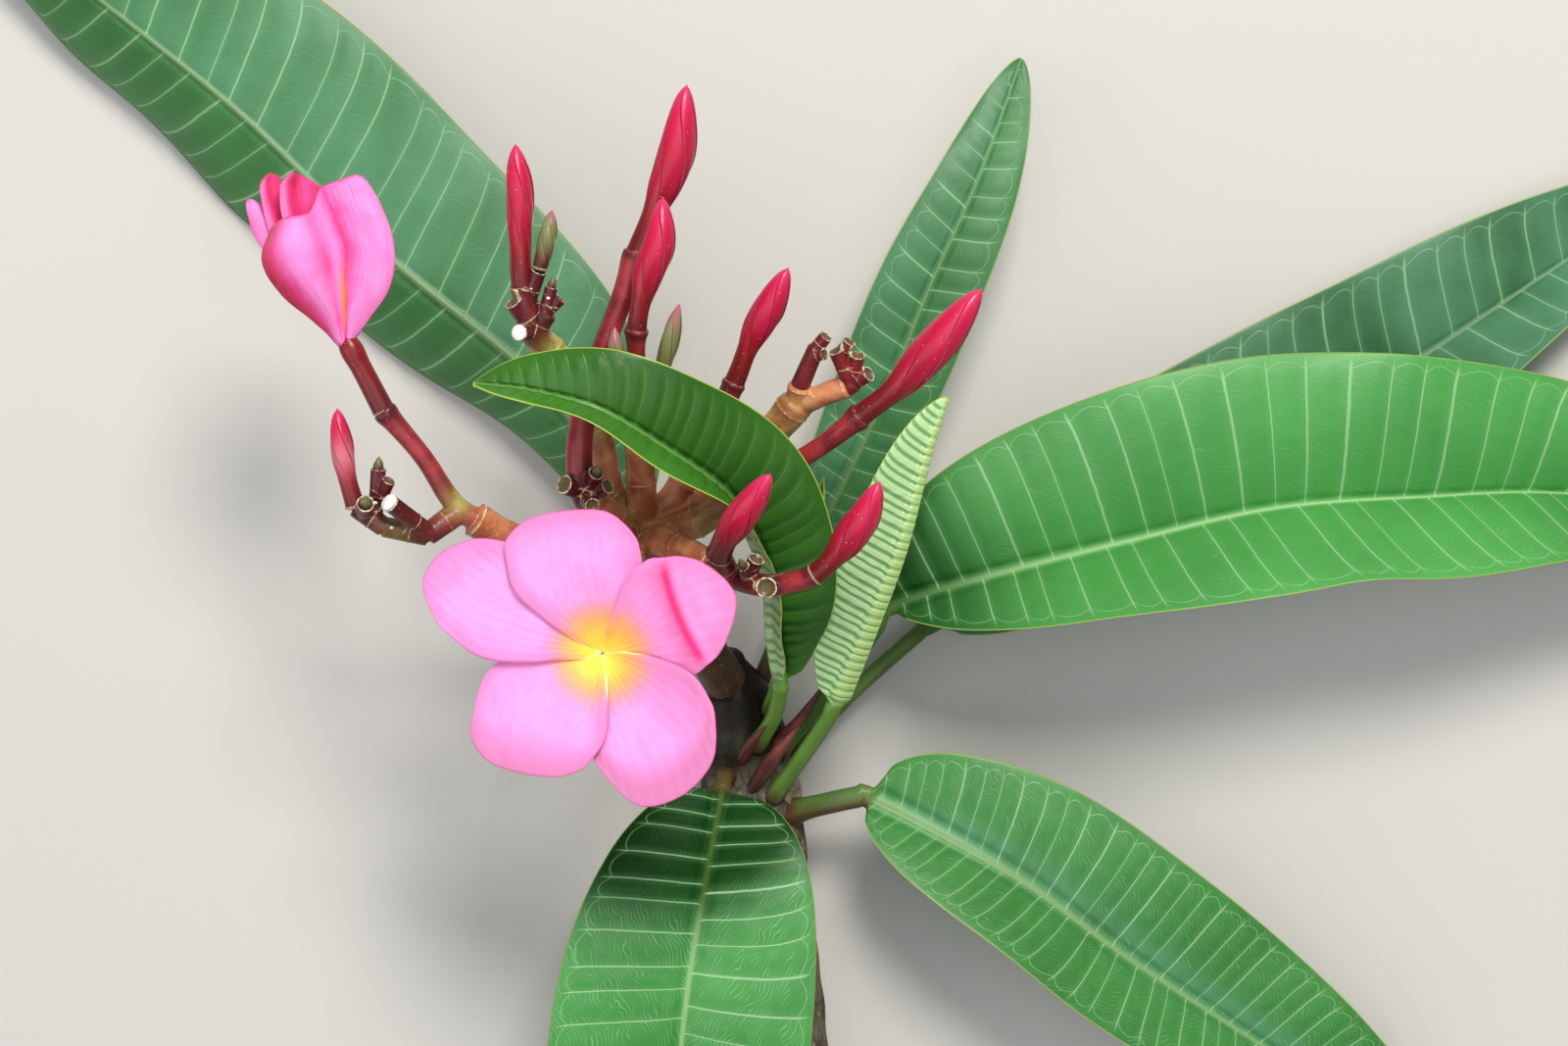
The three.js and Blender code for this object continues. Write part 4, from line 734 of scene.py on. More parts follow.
# Rings about the stem and the midrib. On the stem a ring is round. On the blade it runs over the upper
# face from the left edge to the right one and back under: each half is an arc, thin at its edge, with
# the keel below the midrib, the puffs between veins and the wave of the edge added along its normal.
def leafShell(leaf):
    whole = routeOf(leaf["stem"] + leaf["midrib"])
    bladeStart = shareAt(whole, len(leaf["stem"]))
    bladeLength = whole["length"] * (1 - bladeStart)
    stemFrom = stemStart(whole, bladeStart)
    stations = int(np.clip(bladeLength * 1.15, 70, 270))
    s = (1 - np.cos(np.pi * (np.arange(stations) + 0.35) / (stations - 0.5))) / 2
    s = np.clip(s, 0.0004, 0.9994)
    stemShares = np.linspace(stemFrom, bladeStart, 26)[:-1]
    shares = np.r_[stemShares, bladeStart + (1 - bladeStart) * s]
    s = np.r_[np.zeros(len(stemShares)), s][:, None]
    centre, forward, side, normal = framesAt(whole, shares)
    first = len(stemShares)
    roll = np.radians(leaf["roll"])
    side = side * np.cos(roll) + normal * np.sin(roll)
    side[:first] = unit(side[first] - forward[:first] * (forward[:first] @ side[first])[:, None])
    normal = np.cross(forward, side)

    half = np.r_[np.linspace(0, 1, 36) ** 1.25 * 0.972, 0.99, 1.0]
    t = np.r_[half[::-1], -half[1:], -half[-2:0:-1], half[:-1]]
    under = np.r_[np.zeros(2 * len(half) - 1), np.ones(len(t) - 2 * len(half) + 1)]
    x, sign, right = np.abs(t), np.where(t < 0, -1.0, 1.0), (t < 0).astype(int)
    pick = lambda pair: np.where(right, *[np.broadcast_to(v, (len(s), 1)) for v in pair[::-1]])
    rib = leaf["rib"] * (1 - 0.78 * s)
    widths = [leaf["halfWidth"][k] * bladeOutline(np.maximum(s, 1e-4), leaf["peak"][k], leaf["tipPower"])
              for k in (0, 1)]
    reach = (pick(widths) ** 4 + rib**4) ** 0.25
    fold = np.radians(pick([along(leaf["fold"][k], s) for k in (0, 1)]))
    curl = np.radians(pick(leaf["curl"]))
    lean = fold + curl * x
    across = (np.sin(lean) - np.sin(fold)) / curl
    rise = (np.cos(fold) - np.cos(lean)) / curl

    inMm = s * bladeLength
    sweep = pick([along(leaf["sweep"][k], s) for k in (0, 1)])
    ahead = reach * (0.25 * x + 0.1 * x**5) * (0.6 + 0.9 * s) * sweep
    denser = 30 * leaf["dense"] * (1 - np.exp(-inMm / 30))
    lane = (inMm + denser - ahead) / leaf["spacing"] + 0.43 * right
    lane = lane + 0.12 * np.sin(1.9 * lane + 2.2 * right) + 0.05 * np.sin(4.3 * lane + 1)
    puff = np.sin(np.pi * lane) ** 2 * smooth((x * reach / rib - 0.9) / 1.1) * smooth((1 - x) * reach / 7)
    waveHeight, waves = leaf["wave"]
    wave = waveHeight * x * x * np.sin(2 * np.pi * waves * inMm / 200 + right * 2)
    ripple = 0.35 * x**5 * np.sin(inMm / 7.3 + 2.6 * right + np.sin(inMm / 19)) * smooth(s / 0.1)
    fromRib = x * reach
    skin = 0.4 * np.sqrt(np.maximum(1 - x**24, 0)) * (1 - 0.35 * x**2)
    keel = 1.35 * rib * np.sqrt(np.maximum(1 - (fromRib / (1.25 * rib)) ** 2, 0)) ** 1.5
    crest = 0.3 * rib * bell(fromRib, 0.55 * rib) - 0.18 * rib * bell(fromRib - 1.1 * rib, 0.5 * rib)
    offset = np.where(under > 0, -skin - keel, skin + crest) + wave + ripple
    offset = offset + leaf["quilt"] * (puff - 0.4) * smooth(s / 0.05)
    tilt = lean * smooth(fromRib / (1.3 * rib))
    blade = np.stack([sign * (reach * across - offset * np.sin(tilt)), reach * rise + offset * np.cos(tilt)])
    angle = np.where(under > 0, np.pi * (1.5 + t / 2), np.pi * (1 - t) / 2)
    fromBranch = (shares - stemFrom)[:, None] * whole["length"]
    groove = 0.12 * (angle < np.pi) * bell(angle - np.pi / 2, 0.5)  # along the top of the stem
    thick = rib * (1 + 0.3 * bell(fromBranch, 5)) * (1 - groove)
    ring = np.stack([thick * np.cos(angle), thick * np.sin(angle)])
    opened = smooth(inMm / leaf["opening"])
    flat = ring + (blade - ring) * opened
    points = centre[:, None] + side[:, None] * flat[0][..., None] + normal[:, None] * flat[1][..., None]
    flush = np.clip(0.5 - 0.8 * np.sin(angle + leaf["flushTurn"]), 0, 1) * leaf["flush"]
    # Painted shade at the foot: the stem darkens to its flush colour within 8 mm of the branch.
    flush = np.maximum(np.maximum(flush, leaf["brown"]), 0.95 * smooth((8 - fromBranch) / 6.5))
    # Each leaf's own green with painted shade, by share of the blade, slanted across each half by the shadow
    # tilt.
    tonesAndShade = zip(leaf.get("tonesAndShade", [leaf["tone"]] * 2), leaf["shadowTilt"])
    tone = np.where(right, *[along(pairs, s + tilted * x) for pairs, tilted in tonesAndShade][::-1])
    values = {
        "edgeMm": np.minimum((1 - x) * reach, (1 - s) * bladeLength) + 9 * (1 - opened),
        "ribShare": fromRib / rib, "under": under, "stalk": 1 - opened, "tone": tone, "flush": flush,
        "net": leaf["net"],
        # Painted sheen on each half, with more of it in a band beside the midrib where rib sheen is given.
        "wax": pick(leaf["wax"]) + pick(leaf["ribPaintedSheen"]) * bell(x - 0.15, 0.15) * smooth(s / 0.1),
    }
    return loft(points, values, np.stack([lane, sign * fromRib], -1))


crown = [-38, -3, 62]
# Each ray is one route from the crown to the tip of its bud, cut at two of its points: where the red
# stalk begins, and at the ring where the bud sits. Radii are by share of each stretch's own length.
rays = {
    "left": {
        "points": [crown, [-54, -9, 71], [-70, -4, 81], [-80, 1, 86], [-86, 6, 88], [-93, 17, 90],
                   [-103, 29, 92]],
        "cuts": [3, 6], "ray": [[0, 4.4], [0.5, 3.9], [1, 4.2]], "red": [[0, 2.9], [0.8, 2.6], [1, 3]],
    },
    "upper_left": {
        "points": [crown, [-45.5, 9, 66], [-48, 21, 69], [-53, 35, 74], [-61, 45, 80], [-65, 50, 84],
                   [-67.5, 61, 88], [-68, 72, 89], [-68, 84, 90], [-69, 97, 92]],
        "cuts": [4, 6], "ray": [[0, 4], [0.4, 3.5], [1, 3.7]], "red": [[0, 4], [0.5, 3.6], [1, 3.2]],
        "bud": [[0, 2.9], [0.3, 2.9], [0.62, 3.7], [0.85, 3.1], [0.96, 1.5], [1, 0.5]], "green": 1.0,
    },
    "tall": {
        "points": [crown, [-44, 1, 71], [-51, 7, 79], [-53, 13, 82], [-52.5, 25, 83], [-48, 42, 83],
                   [-42, 58, 84], [-38, 70, 85], [-33, 82, 87], [-28, 94, 90], [-25, 112, 94]],
        "cuts": [2, 7], "ray": [[0, 4], [1, 4]], "red": [[0, 3.8], [0.3, 3.4], [0.9, 3.1], [1, 3.4]],
        "bud": [[0, 2.9], [0.22, 2.8], [0.45, 4.6], [0.66, 5.4], [0.85, 4.2], [0.96, 2], [1, 0.5]],
    },
    "middle": {
        "points": [crown, [-37.5, 9, 70], [-38, 24, 77], [-38, 39, 84], [-38, 50, 89], [-35.5, 62, 93],
                   [-32, 72, 95.5], [-31, 83, 97]],
        "cuts": [2, 4], "ray": [[0, 4.2], [1, 3.7]], "red": [[0, 3.1], [0.9, 2.6], [1, 3]],
        "bud": [[0, 2.6], [0.2, 2.6], [0.45, 4.3], [0.64, 4.9], [0.85, 3.8], [0.96, 1.7], [1, 0.5]],
    },
    "behind": {
        "points": [crown, [-28, 9, 64], [-20, 23, 66], [-13, 37, 70], [-9, 47, 73], [-4, 56, 76],
                   [1, 66, 80]],
        "cuts": [2, 3], "ray": [[0, 3.9], [1, 3.3]], "red": [[0, 2.9], [1, 3]],
        "bud": [[0, 2.7], [0.3, 2.8], [0.5, 4.2], [0.68, 4.7], [0.86, 3.6], [0.96, 1.7], [1, 0.5]],
    },
    "right": {
        "points": [crown, [-24, 0, 66], [-12, 7, 69], [0, 14, 73], [11, 21, 77], [20, 28, 81],
                   [28.6, 34.6, 84], [39, 45.3, 88], [50.6, 59.8, 92]],
        "cuts": [2, 5], "ray": [[0, 4.6], [1, 4]], "red": [[0, 3.3], [0.9, 3], [1, 3.4]],
        "bud": [[0, 3], [0.18, 3], [0.42, 4.9], [0.66, 6.1], [0.85, 4.9], [0.96, 2.3], [1, 0.6]],
        "green": 0.6,
    },
    "lower_right": {
        "points": [crown, [-29, -6, 74], [-18, -11, 88], [-11, -14.5, 95], [-4, -16, 99], [2, -15, 101],
                   [8, -13, 103], [14, -7, 105], [20, 1, 108], [24, 10, 112]],
        "cuts": [2, 6], "ray": [[0, 4.2], [1, 3.7]], "red": [[0, 3.6], [0.5, 3], [1, 2.7]],
        "bud": [[0, 2.8], [0.2, 2.9], [0.42, 4.4], [0.64, 5], [0.85, 3.9], [0.96, 1.9], [1, 0.5]],
    },
    "open_flower": {
        "points": [crown, [-40.5, -9, 70], [-43, -17, 79], [-45, -24, 86]],
        "cuts": [1, 3], "ray": [[0, 4], [1, 3.4]], "red": [[0, 2.8], [0.8, 2.6], [1, 3]],
    },
}
for ray in rays.values():
    ray["route"] = routeOf(ray["points"])
    ray["redFrom"], ray["budFrom"] = (shareAt(ray["route"], index) for index in ray["cuts"])

mainStalk = routeOf([[-14, -47, 24], [-23, -31, 40], [-31, -15, 53], crown])
stubRay = routeOf([crown, [-26, 4, 61], [-13, 13, 62], [-3, 24, 66], [3, 31, 70]])
stubForks = [
    routeOf([[1, 27, 67], [3, 32, 71], [4.2, 35.8, 73.5]]),
    routeOf([[2, 30, 69], [10, 33.5, 73], [16.5, 35.7, 75]]),
]

# Stubs left where flowers dropped, on the red stalks: foot, end, radius at the foot and at the end.
stubs = {
    "left": [
        [[-84, 3, 87], [-92, -3, 89], 3.3, 3.0], [[-92, -3, 89], [-103, -1, 91], 3.0, 2.7],
        [[-91, -3, 89], [-100.5, 5, 99], 2.4, 2.3], [[-103, -1, 91], [-110, 4, 92], 2.7, 2.7],
        [[-105, 2, 92], [-104, 14, 95], 1.9, 2.0], [[-108, 2, 92], [-107, 5, 98], 2.0, 2.3],
        [[-104, 5, 93], [-101, 11, 97], 1.6, 1.7],
    ],
    "upper_left": [
        [[-65, 50, 84], [-70, 57, 89], 2.3, 2.3], [[-65, 49, 84], [-68, 49, 90], 2.0, 2.0],
        [[-64, 50, 84], [-61, 54, 86], 2.6, 2.4], [[-62, 53, 86], [-60, 61, 88], 2.0, 1.7],
        [[-62, 54, 86], [-57.5, 58, 87], 1.7, 1.6], [[-66.3, 57, 87], [-63, 65, 91], 2.2, 2.0],
    ],
    "tall": [
        [[-52, 8, 80], [-57, 10, 86], 2.6, 2.5], [[-52, 8, 80], [-48.5, 13, 87], 2.2, 2.0],
        [[-51, 7, 80], [-45.5, 9.5, 85], 2.0, 2.0], [[-52, 6, 80], [-49.5, 4.5, 87], 1.9, 1.9],
    ],
    "lower_right": [
        [[-15, -13, 94], [-16.5, -8.5, 101], 3.4, 3.3], [[-10, -15, 96], [-7, -9, 101], 2.0, 2.1],
        [[-9, -15, 97], [-10.5, -11, 102], 1.6, 1.5], [[-4, -16, 99], [-4.5, -16.5, 103.5], 2.8, 2.7],
    ],
}
forkStubs = {
    "red_stubs_fork_upper": [
        [[4.2, 36, 73.6], [8.4, 45.6, 79], 2.6, 2.3], [[8, 45, 78.6], [11, 48.6, 81], 1.9, 1.8],
        [[7.6, 43.6, 78], [10.6, 43.8, 80.6], 1.6, 1.5],
    ],
    "red_stubs_fork_right": [
        [[16.8, 35.8, 75.1], [18.4, 36.8, 76.6], 2.8, 2.5], [[17.5, 36.5, 76], [13.6, 45, 80.5], 2.3, 2.2],
        [[14.3, 43.4, 79.6], [17.1, 47.2, 82], 1.8, 1.8], [[18, 36.8, 76.5], [19.2, 43.7, 81.5], 2.0, 1.9],
        [[17.8, 36.6, 76], [22.2, 38.9, 79.5], 2.1, 2.1],
    ],
}
# Stubs whose ends aren't an open scar: they carry a bud or run on into another stub.
carrying = {("left", 0), ("left", 1), ("left", 3), ("upper_left", 2), ("lower_right", 0)}


# The outline of a stub's end, a rim round a shallow cup: [back from the end in millimetres, share of
# the end's radius].
stubRim = [
    [0.7, 1.0], [0.4, 1.05], [0.12, 1.07], [0.0, 1.0], [0.06, 0.88], [0.4, 0.78], [0.8, 0.5], [0.85, 0.1],
]
stubDome = [[0, 1], [-0.3, 0.8], [-0.5, 0.3]]  # the same for an end that isn't an open scar


# Rings about the straight line from foot to end: the radius runs evenly from the one's to the other's,
# then over the outline of the end.
def stubShell(foot, end, footRadius, endRadius, opened):
    foot, end = np.array(foot, float), np.array(end, float)
    length = np.linalg.norm(end - foot)
    back, share = np.array(stubRim if opened else stubDome).T
    back = back * (min(1, endRadius / 2) if opened else 1)
    walk = np.linspace(0, 1, 8)
    walked = np.r_[-0.3, walk * (length - back[0]) * 0.98, length - back]
    radius = np.r_[footRadius * 0.6, footRadius + (endRadius - footRadius) * walk, share * endRadius]
    forward = (end - foot) / length
    side = unit(np.cross(up, forward))
    ways = waysOut(side[None], np.cross(forward, side)[None], np.linspace(0, 2 * np.pi, 20, endpoint=False))
    return loft((foot + forward * walked[:, None])[:, None] + ways * radius[:, None, None])


# A place on a stub, at a share of the way from its foot to its end, and the way it points.
def stubAt(stub, share):
    foot, end = np.array(stub[0], float), np.array(stub[1], float)
    return foot + (end - foot) * share, unit(end - foot)


# The number of a line's sample that is nearest to each point, and how far off it is in millimetres.
def nearLine(points, line):
    apart = np.linalg.norm(points[:, None] - line[None], axis=2)
    nearest = apart.argmin(1)
    return nearest, apart[np.arange(len(points)), nearest]


# How far each point is past a place along a way, and how far out from that line, in millimetres.
def fromAxis(points, place, way):
    apart = points - place
    past = apart @ way
    return past, np.linalg.norm(apart - past[:, None] * way, axis=1)


# Marks on a melted stalk: cream rings at its joints, cream rims and dark cups at its open stubs.
def stalkMarks(points, joints, opened):
    joint, scar, cup = np.zeros((3, len(points)))
    for place, way, radius, width in joints:
        down, out = fromAxis(points, place, way)
        joint = np.maximum(joint, bell(down, width) * smooth((radius * 1.7 - out) / 0.6))
    for stub in opened:
        radius = stub[3]
        down, out = fromAxis(points, *stubAt(stub, 1))
        near = smooth((radius * 1.35 - out) / 0.2)
        scar = np.maximum(scar, near * smooth((down + 0.3) / 0.2) * smooth((out - radius * 0.8) / 0.2))
        cup = np.maximum(cup, smooth((radius * 0.88 - out) / 0.2) * smooth((down + 1.2) / 0.3))
    return joint, scar, cup


# A ring round a route at a share of it: its centre, its way on, the stalk's radius, the ring's width.
def jointAt(route, share, radius, width=0.3):
    centre, forward, _, _ = framesAt(route, [share])
    return centre[0], forward[0], radius, width


# The sum over patches of strength x bell of the distance from the patch's place.
def patchesOn(points, patches):
    return sum((strength * bell(np.linalg.norm(points - place, axis=1), size)
                for place, size, strength in patches), np.zeros(len(points)))


# Yellow-green patches on the flower stalk and the red stalks, and tan ones: place, size in millimetres,
# strength.
greenPatches = [[[-85, 5, 87], 4.5, 1], [[1, 29, 67], 8, 0.7], [[-40, 0, 66], 9, 0.5]]
redPatches = {
    "left": [[[-85, 5.4, 88], 4, 1], [[-100, -3, 90], 5, 0.9]],
    "upper_left": [[[-62, 46.5, 82], 5, 1]],
}
tanPatches = {"left": [[[-84, 2.5, 87], 6.5, 0.9]]}


# The main stalk, the crown and all rays as one skin. Small seeded pores stand up from it.
def flowerStalkShell():
    shells = [
        tubeShell(mainStalk, [[0, 6.6], [0.1, 6.2], [0.6, 5.4], [1, 6]], dome=(0.2, 0.5)),
        tubeShell(routeOf([[-38, -3, 58], crown, [-38, -3, 66]]), [[0, 5], [0.5, 6.6], [1, 5]], count=12),
        tubeShell(stubRay, [[0, 4.6], [0.6, 4.0], [1, 4.4]], swell=[(0.96, 0.1, 0.08)]),
        *[tubeShell(fork, [[0, 3.4], [0.8, 3.0], [1, 3.2]], count=16, dome=(0.4, 0.2)) for fork in stubForks],
    ]
    for ray in rays.values():
        shells.append(tubeShell(ray["route"], ray["ray"], end=ray["redFrom"] - 0.2 / ray["route"]["length"],
                                dome=(0.4, 0.15), swell=[(0.97, 0.06, 0.1), (0.55, 0.03, 0.05)]))
    points, normals, quads = meltedSkin(shells, voxel=0.42, smoothing=5)
    joints = [jointAt(fork, 0.96, 3.4) for fork in stubForks] + [jointAt(stubRay, 0.97, 5.0)]
    for ray in rays.values():
        redFrom, length = ray["redFrom"], ray["route"]["length"]
        joints.append(jointAt(ray["route"], redFrom - 0.5 / length, 4.6))
        joints.append(jointAt(ray["route"], redFrom * 0.55, 4.4, 0.25))
    joint, scar, cup = stalkMarks(points, joints, [])
    # Painted shade: the stalk darkens below 58 mm above the table, down under the flowers and leaves.
    dark = 0.9 * smooth((58 - points[:, 2]) / 14)
    green = patchesOn(points, greenPatches)
    for ray in rays.values():
        place, out = nearLine(points, pointsAt(ray["route"], np.linspace(0, ray["redFrom"], 60)))
        on = smooth((5.6 - out) / 1.2) * smooth((place / 59 - 0.35) / 0.4)
        green = np.maximum(green, on * ray.get("green", 0.08))
    rng = np.random.default_rng(11)
    pores = points[rng.choice(len(points), 150, replace=False)]
    lift = sum(bell(np.linalg.norm(points - pore, axis=1), 0.5) for pore in pores) * 0.14
    lift = lift + 0.25 * joint + 0.08 * np.sin(points[:, 0] * 1.1 + np.sin(points[:, 1] * 0.9) * 2)
    values = {"joint": joint, "scar": scar, "cup": cup, "green": np.minimum(green, 1), "dark": dark}
    return {"points": points + normals * lift[:, None], "faces": [quads], "values": values}


# On a red stalk's stubs, by their numbers: a tiny new bud in the cup, a cap of dried latex over the end,
# and small drops of latex on top, with the share of the stub's length.
budlets = {"left": [4, 5], "upper_left": [3], "tall": [1], "lower_right": [2]}
latex = {"left": [2], "upper_left": [1]}
drops = {
    "left": [(4, 0.25), (1, 0.8), (5, 0.3), (3, 0.5), (2, 0.75)], "tall": [(2, 0.7), (3, 0.6)],
    "upper_left": [(1, 0.6), (3, 0.6), (5, 0.4)], "lower_right": [(1, 0.6), (2, 0.5)],
}


# A new bud no longer than 3 mm. It shows only the darker run of its colours.
def budletOn(stub):
    end, forward = stubAt(stub, 1)
    pairs = [[0, 0.6 * stub[3]], [0.45, 0.68 * stub[3]], [0.8, 0.42 * stub[3]], [1, 0.16 * stub[3]]]
    route = routeOf([end - 0.9 * forward, end + 0.8 * forward, end + 2.9 * forward])
    shell = budShell(route, pairs, stations=24, tubeEnd=0.1)
    shell["values"]["share"] = shell["values"]["share"] * 0.55
    return {**shell, "material": 1}


def latexOn(stub):  # a low dome, a little wider than the stub's end
    end, forward = stubAt(stub, 1)
    route = routeOf([end - 0.3 * forward, end + 0.7 * forward])
    shell = tubeShell(route, [[0, stub[3] * 0.9], [1, stub[3] * 1.05]], sides=20, count=6, dome=(0.2, 0.35))
    return {**shell, "material": 2}


def dropOn(stub, share):  # a ball half sunk in the upper side of a stub
    centre = stubAt(stub, share)[0] + [0, 0.2, stub[3] * 0.97]
    route = routeOf([centre - [0.15, 0, 0], centre + [0.15, 0, 0]])
    return {**tubeShell(route, [[0, 0.42], [1, 0.42]], sides=12, count=3, dome=(0.9, 0.9)), "material": 2}


# One red stalk with its stubs as one skin, and what is on the stubs.
def redStalkShells(name):
    ray, own = rays[name], stubs.get(name, [])
    route, length = ray["route"], ray["route"]["length"]
    shells = [tubeShell(route, ray["red"], start=ray["redFrom"] - 0.7 / length,
                        end=ray["budFrom"] - 0.15 / length, count=60, dome=(0.3, 0.1),
                        swell=[(0.02, 0.05, 0.1), (0.97, 0.04, 0.1)])]
    shells += [stubShell(*stub, (name, k) not in carrying) for k, stub in enumerate(own)]
    points, normals, quads = meltedSkin(shells, voxel=0.3, smoothing=3)
    joints = [jointAt(route, ray["redFrom"] + 0.5 / length, 3.5, 0.2)]
    joints += [(*stubAt(stub, 0.42), stub[3] * 1.25, 0.22) for stub in own]
    opened = [stub for k, stub in enumerate(own) if (name, k) not in carrying]
    joint, scar, cup = stalkMarks(points, joints, opened)
    budFoot, onward, _, _ = framesAt(route, [ray["budFrom"]])
    nearBud = np.linalg.norm(points - budFoot, axis=1) < 7
    dark = 0.65 * bell((budFoot - points) @ onward[0] - 1.2, 1.5) * nearBud
    for stub in own:
        _, out = nearLine(points, np.linspace(stub[0], stub[1], 20))
        dark = np.maximum(dark, smooth((4.2 - out) / 1.4) * 0.75)
    green, tan = (patchesOn(points, patches.get(name, [])) for patches in (redPatches, tanPatches))
    dark = dark * (1 - green) * (1 - tan)
    values = {"joint": joint, "scar": scar, "cup": cup, "dark": dark, "green": green, "tan": tan}
    skin = {"points": points + normals * (0.12 * joint)[:, None], "faces": [quads], "values": values}
    extras = [budletOn(own[k]) for k in budlets.get(name, [])]
    extras += [latexOn(own[k]) for k in latex.get(name, [])]
    return [skin] + extras + [dropOn(own[k], share) for k, share in drops.get(name, [])]


# The stubs at one end of the forked ray as one skin. The first carries the others.
def forkStubShell(name):
    own = forkStubs[name]
    shells = [stubShell(*stub, k > 0) for k, stub in enumerate(own)]
    points, normals, quads = meltedSkin(shells, voxel=0.28, smoothing=3)
    joints = [(*stubAt(stub, 0.5), stub[3] * 1.2, 0.22) for stub in own[1:]]
    joint, scar, cup = stalkMarks(points, joints, own[1:])
    values = {"joint": joint, "scar": scar, "cup": cup, "dark": np.full(len(points), 0.35)}
    return {"points": points + normals * (0.1 * joint)[:, None], "faces": [quads], "values": values}


# Rings of five lobes about a route, one for each petal. Across a lobe the radius falls slowly, then
# steps back up at the next one's edge, and the lobes wind round the bud as they rise.
def budShell(route, radius, start=0.0, stations=120, tubeEnd=0.25, pale=0.0):
    wind, step = -0.42, 0.13  # turns from foot to tip, and how far a petal's edge stands up, by radius
    q = np.linspace(0, 1, stations)
    lift, dome = np.radians([20, 45, 70]), np.radians([70, 48, 26, 6])  # rings of the foot and of the tip
    shares = np.r_[np.full(len(lift), start), start + (1 - start) * q, np.ones(len(dome))]
    own = np.r_[0 * lift, q, np.ones(len(dome))][:, None]
    centre, forward, side, normal = framesAt(route, shares)
    lobe = np.r_[np.linspace(0, 0.93, 17), 0.955, 0.975, 0.99]
    inLobe = np.tile(lobe, 5)
    turn = 2 * np.pi * ((np.arange(5)[:, None] + lobe).ravel() / 5 + wind * own)
    closed = smooth((own - tubeEnd * 0.7) / 0.25) * smooth((1.02 - own) / 0.08)
    fall = np.where(inLobe < 0.93, (inLobe / 0.93) ** 1.4, 1 - smooth((inLobe - 0.93) / 0.07))
    r = along(radius, own) * (1 - step * closed * fall) * (1 + 0.02 * closed * np.cos(2 * np.pi * inLobe))
    blunt = 1.4 * np.sqrt((1 - own) * route["length"] * (1 - start) + 0.04)
    r = (r**-6 + blunt**-6) ** (-1 / 6) * (1 + 0.1 * bell(own, 0.015))
    shrink = np.r_[np.sin(lift), np.ones(stations), np.sin(dome)][:, None]
    slide = np.r_[-0.3 * np.cos(lift), np.zeros(stations), np.cos(dome)] * along(radius, own[:, 0])
    centre = (centre + forward * slide[:, None])[:, None]
    values = {
        "share": own, "joint": bell(own * route["length"] * (1 - start), 0.5), "petal": inLobe**2 * closed,
        # Painted shade in the seams, at each petal's step.
        "seam": np.maximum(bell(inLobe - 0.95, 0.035), bell(inLobe, 0.012) * 0.3) * closed,
        "pale": pale * bell(own - 0.52, 0.17),
    }
    return loft(centre + waysOut(side, normal, turn) * (r * shrink)[..., None], values)


# Buds that stand beside a ray's own, on its stubs.
sideBuds = {
    "bud_lower_left": {
        "points": [[-110.2, 4.3, 92.3], [-112.3, 12, 93], [-113.5, 20, 94], [-114.5, 29, 95]],
        "radius": [[0, 2.5], [0.3, 2.4], [0.55, 3.1], [0.82, 2.5], [0.96, 1.2], [1, 0.4]],
        "tube": 0.4, "pale": 0.6,
    },
    "bud_front": {
        "points": [[-16.6, -8.1, 101.6], [-14.5, -3.5, 108], [-10, 2.5, 113], [-3.5, 12, 120]],
        "radius": [[0, 3.3], [0.22, 3.2], [0.48, 4.5], [0.64, 4.6], [0.85, 3.4], [0.96, 1.6], [1, 0.5]],
        "tube": 0.3,
    },
    "bud_small_left": {
        "points": [[-62.8, 65.5, 91.2], [-61.4, 71, 92.2], [-60.4, 75.5, 92.6], [-59.6, 80, 93]],
        "radius": [[0, 1.9], [0.4, 2.3], [0.65, 2.3], [0.88, 1.5], [1, 0.4]], "unripe": True, "tube": 0.1,
    },
    "bud_small_middle": {
        "points": [[-37, 28, 80], [-32.5, 37, 84], [-30, 45, 87], [-27, 56, 91]],
        "radius": [[0, 2], [0.45, 2.1], [0.68, 2.5], [0.88, 1.8], [1, 0.4]], "unripe": True, "tube": 0.4,
    },
    "bud_small_front": {
        "points": [[-39, 28, 81], [-41.5, 35, 88], [-43, 42, 92], [-43.5, 50, 94]],
        "radius": [[0, 1.6], [0.45, 1.9], [0.7, 2.3], [0.9, 1.6], [1, 0.4]], "unripe": True, "tube": 0.4,
    },
}

